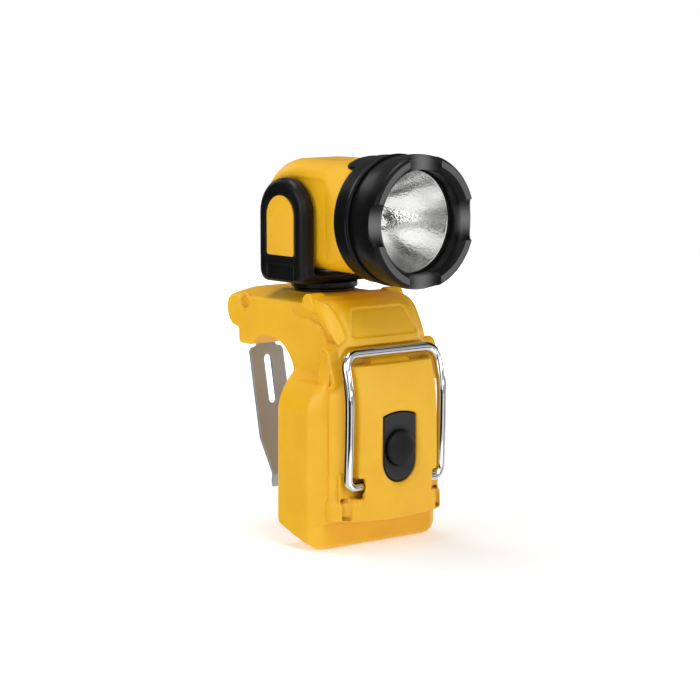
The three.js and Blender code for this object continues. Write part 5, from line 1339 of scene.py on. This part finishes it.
class WORKLIGHT_OT_stage(bpy.types.Operator):
    """Make the floor, the studio lights, the sky and the camera"""
    bl_idname = "worklight.stage"
    bl_label = "Stage"

    def execute(self, context):
        wish = context.scene.worklight_stage
        focal, distance = 2700.0, 1.188
        a, e = wish.azimuth, wish.elevation
        back = Vector((math.sin(a) * math.cos(e), -math.cos(a) * math.cos(e), math.sin(e)))
        right = Vector((math.cos(a), math.sin(a), 0))
        up = back.cross(right)
        dx, dy = (346.4 - 350) / focal, (350 - 534.9) / focal
        data = bpy.data.cameras.new("Camera")
        data.sensor_width = 36
        data.lens = focal * 36 / 700
        data.clip_start, data.clip_end = 0.05, 60
        camera = linked("Camera", data)
        camera.location = (back - right * dx - up * dy) * distance
        camera.rotation_mode = "QUATERNION"
        camera.rotation_quaternion = Matrix((right, up, back)).transposed().to_quaternion()
        context.scene.camera = camera

        floor = upright_disc("Floor", 1.3, 96)
        made, tree, shader = blank("Pale_floor")
        shader.inputs["Base Color"].default_value = (*wish.floor, 1)
        shader.inputs["Roughness"].default_value = 0.8
        shader.inputs["Specular IOR Level"].default_value = 0.2
        shader.inputs["Emission Color"].default_value = (1, 1, 1, 1)
        spots = add(tree, "ShaderNodeTexCoord").outputs["Object"]
        away = add(tree, "ShaderNodeVectorMath", {"operation": "LENGTH"}, n0=spots)
        glow = add(tree, "ShaderNodeMapRange", {"interpolation_type": "SMOOTHSTEP"},
                   Value=away.outputs["Value"], From_Min=0.12, From_Max=0.8, To_Min=0.34, To_Max=0.85)
        tree.links.new(glow.outputs["Result"], shader.inputs["Emission Strength"])
        floor.data.materials.append(made)
        floor.visible_glossy = False

        # Soft boxes: place, aim, width, height and power
        lamps = [
            ("Key", (-0.35, -1.2, 1.25), (0, -0.01, 0.09), 0.5, 0.45, 4.0),
            ("Left", (-1.35, 0.0, 0.7), (0, 0, 0.09), 0.4, 0.8, 5.4),
            ("Top", (-0.1, 0.3, 1.35), (0, 0, 0.1), 0.8, 0.5, 6.8),
            ("Right", (1.3, -0.3, 0.3), (0, 0, 0.09), 0.3, 0.45, 2.0),
            ("Rear", (-0.2, 1.5, 0.8), (0, 0, 0.1), 0.9, 0.6, 3.4),
            ("Strip_high", (0.45, -1.2, 0.36), (0, 0, 0.14), 1.1, 0.07, 1.3),
            ("Strip_low", (0.5, -1.2, 0.14), (0, 0, 0.14), 1.1, 0.07, 1.0),
        ]
        for name, spot, aim, width, height, power in lamps:
            lamp = bpy.data.lights.new(name, "AREA")
            lamp.shape = "RECTANGLE"
            lamp.size, lamp.size_y = width, height
            lamp.energy = power * wish.light
            held = linked(name, lamp)
            held.location = spot
            held.rotation_mode = "QUATERNION"
            held.rotation_quaternion = (Vector(spot) - Vector(aim)).to_track_quat("Z", "Y")

        for k, (start, end, near, far, low, high, glow) in enumerate(SCREENS):
            made, tree, shader = blank(f"Screen_{k}")
            shader.inputs["Base Color"].default_value = (0.004, 0.004, 0.004, 1)
            shader.inputs["Roughness"].default_value = 1.0
            shader.inputs["Emission Color"].default_value = (1, 1, 1, 1)
            shader.inputs["Emission Strength"].default_value = glow * wish.light
            turns = [math.radians(t) for t in np.linspace(start, end, 9)]
            inner = [(near * math.sin(a), -near * math.cos(a), low) for a in turns]
            outer = [(far * math.sin(a), -far * math.cos(a), high) for a in reversed(turns)]
            mesh = bpy.data.meshes.new(f"Screen_{k}")
            mesh.from_pydata(inner + outer, [], [(i, i + 1, 16 - i, 17 - i) for i in range(8)])
            card = linked(f"Screen_{k}", mesh)
            mesh.materials.append(made)
            for sort in ("camera", "diffuse", "shadow", "transmission"):
                setattr(card, f"visible_{sort}", False)

        world = bpy.data.worlds.new("Studio")
        world.use_nodes = True
        tree = world.node_tree
        tree.nodes.clear()
        ways = add(tree, "ShaderNodeTexCoord").outputs["Generated"]
        rise = add(tree, "ShaderNodeSeparateXYZ", Vector=ways)
        above = add(tree, "ShaderNodeMapRange", Value=rise.outputs["Z"], From_Min=0.0, From_Max=0.9,
                    To_Min=0.08, To_Max=0.3)
        ahead = add(tree, "ShaderNodeMapRange", {"interpolation_type": "SMOOTHSTEP"}, Value=rise.outputs["Y"],
                    From_Min=0.15, From_Max=-0.7, To_Min=0.0, To_Max=0.2)
        below = add(tree, "ShaderNodeMapRange", Value=rise.outputs["Z"], From_Min=-0.02, From_Max=-0.12,
                    To_Min=0.0, To_Max=0.9)
        front = add(tree, "ShaderNodeMath", {"operation": "ADD"}, n0=above.outputs["Result"],
                    n1=ahead.outputs["Result"])
        dome = add(tree, "ShaderNodeMath", {"operation": "MAXIMUM"}, n0=front.outputs[0],
                   n1=below.outputs["Result"])
        seen = add(tree, "ShaderNodeLightPath")
        strength = add(tree, "ShaderNodeMix", Factor=seen.outputs["Is Camera Ray"], n2=dome.outputs[0],
                       n3=1.0)
        sky = add(tree, "ShaderNodeBackground", Color=(1, 1, 1, 1), Strength=strength.outputs[0])
        out = tree.nodes.new("ShaderNodeOutputWorld")
        tree.links.new(sky.outputs["Background"], out.inputs["Surface"])
        context.scene.world = world
        context.scene.view_settings.view_transform = "Standard"
        return {"FINISHED"}


def upright_disc(name, radius, steps):
    """A flat round floor at zero height, in metres."""
    mesh = bpy.data.meshes.new(name)
    mesh.from_pydata([(radius * math.cos(TAU * k / steps), radius * math.sin(TAU * k / steps), 0)
                      for k in range(steps)],
                     [], [tuple(range(steps))])
    return linked(name, mesh)


class WORKLIGHT_OT_body(bpy.types.Operator):
    """Make the housing, the front cover and the battery door"""
    bl_idname = "worklight.body"
    bl_label = "Body mouldings"

    def execute(self, context):
        finish = finishes()["yellow"]
        place(rear_housing(), "Housing_moulding", "body", finish, "yellow_plastic", "rear_housing")
        place(front_cover(), "Cover_moulding", "body", finish, "yellow_plastic", "front_cover")
        door = soften(copied("battery_door", "door"), 0.42, 2, 120000)
        place(door, "Battery_door_moulding", "door", finish, "yellow_plastic", "battery_door")
        return {"FINISHED"}


class WORKLIGHT_OT_cells(bpy.types.Operator):
    """Finish the cells, contacts and small steel pieces inside the body"""
    bl_idname = "worklight.cells"
    bl_label = "Cells and contacts"

    def execute(self, context):
        held = finishes()
        dress(held["jacket"], *[f"round_cell_{k}" for k in (1, 2, 3, 4)])
        dress(held["black"], "cell_tray", "micro_switch")
        dress(held["brass"], "upper_contact_left", "upper_contact_right", "lower_contact")
        dress(held["zinc"], "hinge_pin", "catch_leaf", *[f"cover_screw_{k}" for k in (1, 2, 3, 4)])
        dress(held["board"], "circuit_board")
        dress(held["nylon"], "switch_plunger")
        return {"FINISHED"}


class WORKLIGHT_OT_clip(bpy.types.Operator):
    """Make the belt clip and its two screws"""
    bl_idname = "worklight.clip"
    bl_label = "Belt clip"

    def execute(self, context):
        held = finishes()
        place(belt_clip(), "Belt_clip_strap", "body", held["steel"], "satin_steel", "belt_clip")
        screw = screw_form(2.9, 1.7, 1.5, 10, 1.5, "pan_head")
        mesh = bpy.data.meshes.new("screw_places")
        mesh.from_pydata([(x * MM, 58.0 * MM, CLIP_SCREW_RISE * MM) for x in CLIP_SCREWS], [], [])
        spots = linked("screw_places", mesh)
        screws = grow(spots, spread_tree(), Shape=screw, Finish=held["zinc"])
        bpy.data.objects.remove(screw, do_unlink=True)
        place(smooth(screws, 32), "Clip_screws", "body", None, "zinc_steel", "clip_screw_1", "clip_screw_2")
        return {"FINISHED"}


class WORKLIGHT_OT_bail(bpy.types.Operator):
    """Bend the chrome wire"""
    bl_idname = "worklight.bail"
    bl_label = "Wire bail"

    def execute(self, context):
        wire = grow(line_of(bail_path(), "bail_line"), wire_tree(),
                    Radius=context.scene.worklight_sizes.wire, Sides=28, Finish=finishes()["chrome"])
        place(smooth(wire, 50), "Bail_wire", "bail", None, "chrome_wire", "wire_bail")
        return {"FINISHED"}


class WORKLIGHT_OT_switch(bpy.types.Operator):
    """Make the switch plate and its rubber button"""
    bl_idname = "worklight.switch"
    bl_label = "Switch"

    def execute(self, context):
        held = finishes()
        place(switch_plate(), "Switch_plate_moulding", "body", held["plate"], "grey_plastic", "switch_plate")
        place(switch_button(), "Switch_button_dome", "button", held["rubber"], "black_rubber",
              "switch_button")
        return {"FINISHED"}


class WORKLIGHT_OT_turret(bpy.types.Operator):
    """Make the yoke and its labels, and finish the swivel's washers and pins"""
    bl_idname = "worklight.turret"
    bl_label = "Turret"

    def execute(self, context):
        held = finishes()
        place(yoke_form(), "Yoke_moulding", "turret", held["black"], "black_plastic", "yoke")
        for side, name in ((-1, "left"), (1, "right")):
            place(label_plate(side), f"Bare_label_{name}", "turret", held["label"], "yellow_plastic",
                  f"label_plate_{name}")
        disc = turned([(4.85, 109.1), (14.1, 109.1), (14.5, 109.3), (14.6, 109.7), (14.6, 111.1),
                       (14.5, 111.5), (14.1, 111.7), (4.85, 111.7)], "z", (0, SWIVEL_BACK, 0), 160)
        place(smooth(disc, 35), "Turntable_disc", "turret", held["black"], "black_plastic", "turntable")
        # The washer's steel is painted dark for the shade under the yoke.
        washer = turned([(4.85, 107.9), (13.2, 107.9), (13.4, 108.05), (13.4, 108.65), (13.2, 108.8),
                         (4.85, 108.8)],
                        "z", (0, SWIVEL_BACK, 0), 160)
        place(smooth(washer, 35), "Swivel_washer_ring", "body", held["oxide"], "satin_steel", "swivel_washer")
        dress(held["zinc"], "swivel_spindle", "retaining_ring", "pivot_pin_left", "pivot_pin_right")
        dress(held["steel"], "spring_washer")
        dress(held["nylon"], "tilt_washer_left", "tilt_washer_right")
        return {"FINISHED"}


class WORKLIGHT_OT_head(bpy.types.Operator):
    """Make the head housing, the collar and the bezel"""
    bl_idname = "worklight.head"
    bl_label = "Head mouldings"

    def execute(self, context):
        held = finishes()
        place(head_housing(), "Head_moulding", "head", held["yellow"], "yellow_plastic", "head_housing")
        place(collar_ring(), "Collar_moulding", "head", held["barrel"], "black_plastic", "collar_ring")
        # Painted light: the bezel's front faces take the nylon painted a lighter grey, and its notch floors
        # the painted highlight of the barrel finish.
        ring = grow(bezel_sector(), quarters_tree(), Count=4, Centre=(0, 0, BARREL_RISE * MM),
                    Finish=held["barrel"], Face_finish=held["ring_face"])
        place(smooth(ring, 34), "Bezel_ring", "head", None, "black_plastic", "bezel")
        return {"FINISHED"}


class WORKLIGHT_OT_optics(bpy.types.Operator):
    """Make the lens, the hammered reflector and the lamp"""
    bl_idname = "worklight.optics"
    bl_label = "Lens, reflector and lamp"

    def execute(self, context):
        held, sizes = finishes(), context.scene.worklight_sizes
        bevel = LENS_RADIUS - 0.15
        pane = barrel([(0, 42.8), (bevel, 42.8), (LENS_RADIUS, 42.95), (LENS_RADIUS, 44.65), (bevel, 44.8),
                       (20.9, 44.8)]
                      + [(r, 44.8 + 0.6 * (1 - (r / 20.9) ** 2)) for r in (18, 14, 10, 6, 3)] + [(0, 45.4)],
                      160)
        place(smooth(pane, 35), "Lens_pane", "head", held["lens"], "clear_lens", "lens")
        inner = DISH_RIM + 0.1
        seal = barrel([(inner, 41.5), (LENS_RADIUS, 41.5), (LENS_RADIUS, 42.5), (inner, 42.5)], 160)
        place(smooth(seal, 35), "Lens_seal", "head", held["rubber"], "black_rubber", "lens_gasket")
        dish = grow(reflector_form(), hammered_tree(), Dent_size=sizes.dent, Dent_depth=sizes.dent_depth,
                    Finish=held["silver"])
        place(dish, "Reflector_dish", "head", None, "reflector_silver", "reflector")
        place(bulb_glass(), "Lamp_glass", "head", held["glass"], "clear_lens", "bulb")
        dress(held["black"], "lamp_holder")
        return {"FINISHED"}


class WORKLIGHT_PT_panel(bpy.types.Panel):
    """Lists the settings and the operators"""
    bl_label = "Work light"
    bl_idname = "WORKLIGHT_PT_panel"
    bl_space_type = "VIEW_3D"
    bl_region_type = "UI"
    bl_category = "Work light"

    def draw(self, context):
        layout = self.layout
        for group in (context.scene.worklight_colours, context.scene.worklight_sizes,
                      context.scene.worklight_stage):
            for name in group.bl_rna.properties.keys():
                if name not in ("rna_type", "name"):
                    layout.prop(group, name)
        for step in STEPS:
            layout.operator(step.bl_idname)


STEPS = (WORKLIGHT_OT_stage, WORKLIGHT_OT_body, WORKLIGHT_OT_cells, WORKLIGHT_OT_clip, WORKLIGHT_OT_bail,
         WORKLIGHT_OT_switch, WORKLIGHT_OT_turret, WORKLIGHT_OT_head, WORKLIGHT_OT_optics)
GROUPS = (("worklight_colours", WorklightColours), ("worklight_sizes", WorklightSizes),
          ("worklight_stage", WorklightStage))


def register():
    for name, group in GROUPS:
        bpy.utils.register_class(group)
        setattr(bpy.types.Scene, name, bpy.props.PointerProperty(type=group))
    for step in (*STEPS, WORKLIGHT_PT_panel):
        bpy.utils.register_class(step)


def unregister():
    for step in reversed((*STEPS, WORKLIGHT_PT_panel)):
        bpy.utils.unregister_class(step)
    for name, group in reversed(GROUPS):
        delattr(bpy.types.Scene, name)
        bpy.utils.unregister_class(group)


def main():
    register()
    for step in STEPS:
        family, action = step.bl_idname.split(".")
        getattr(getattr(bpy.ops, family), action)()


if __name__ == "__main__":
    main()
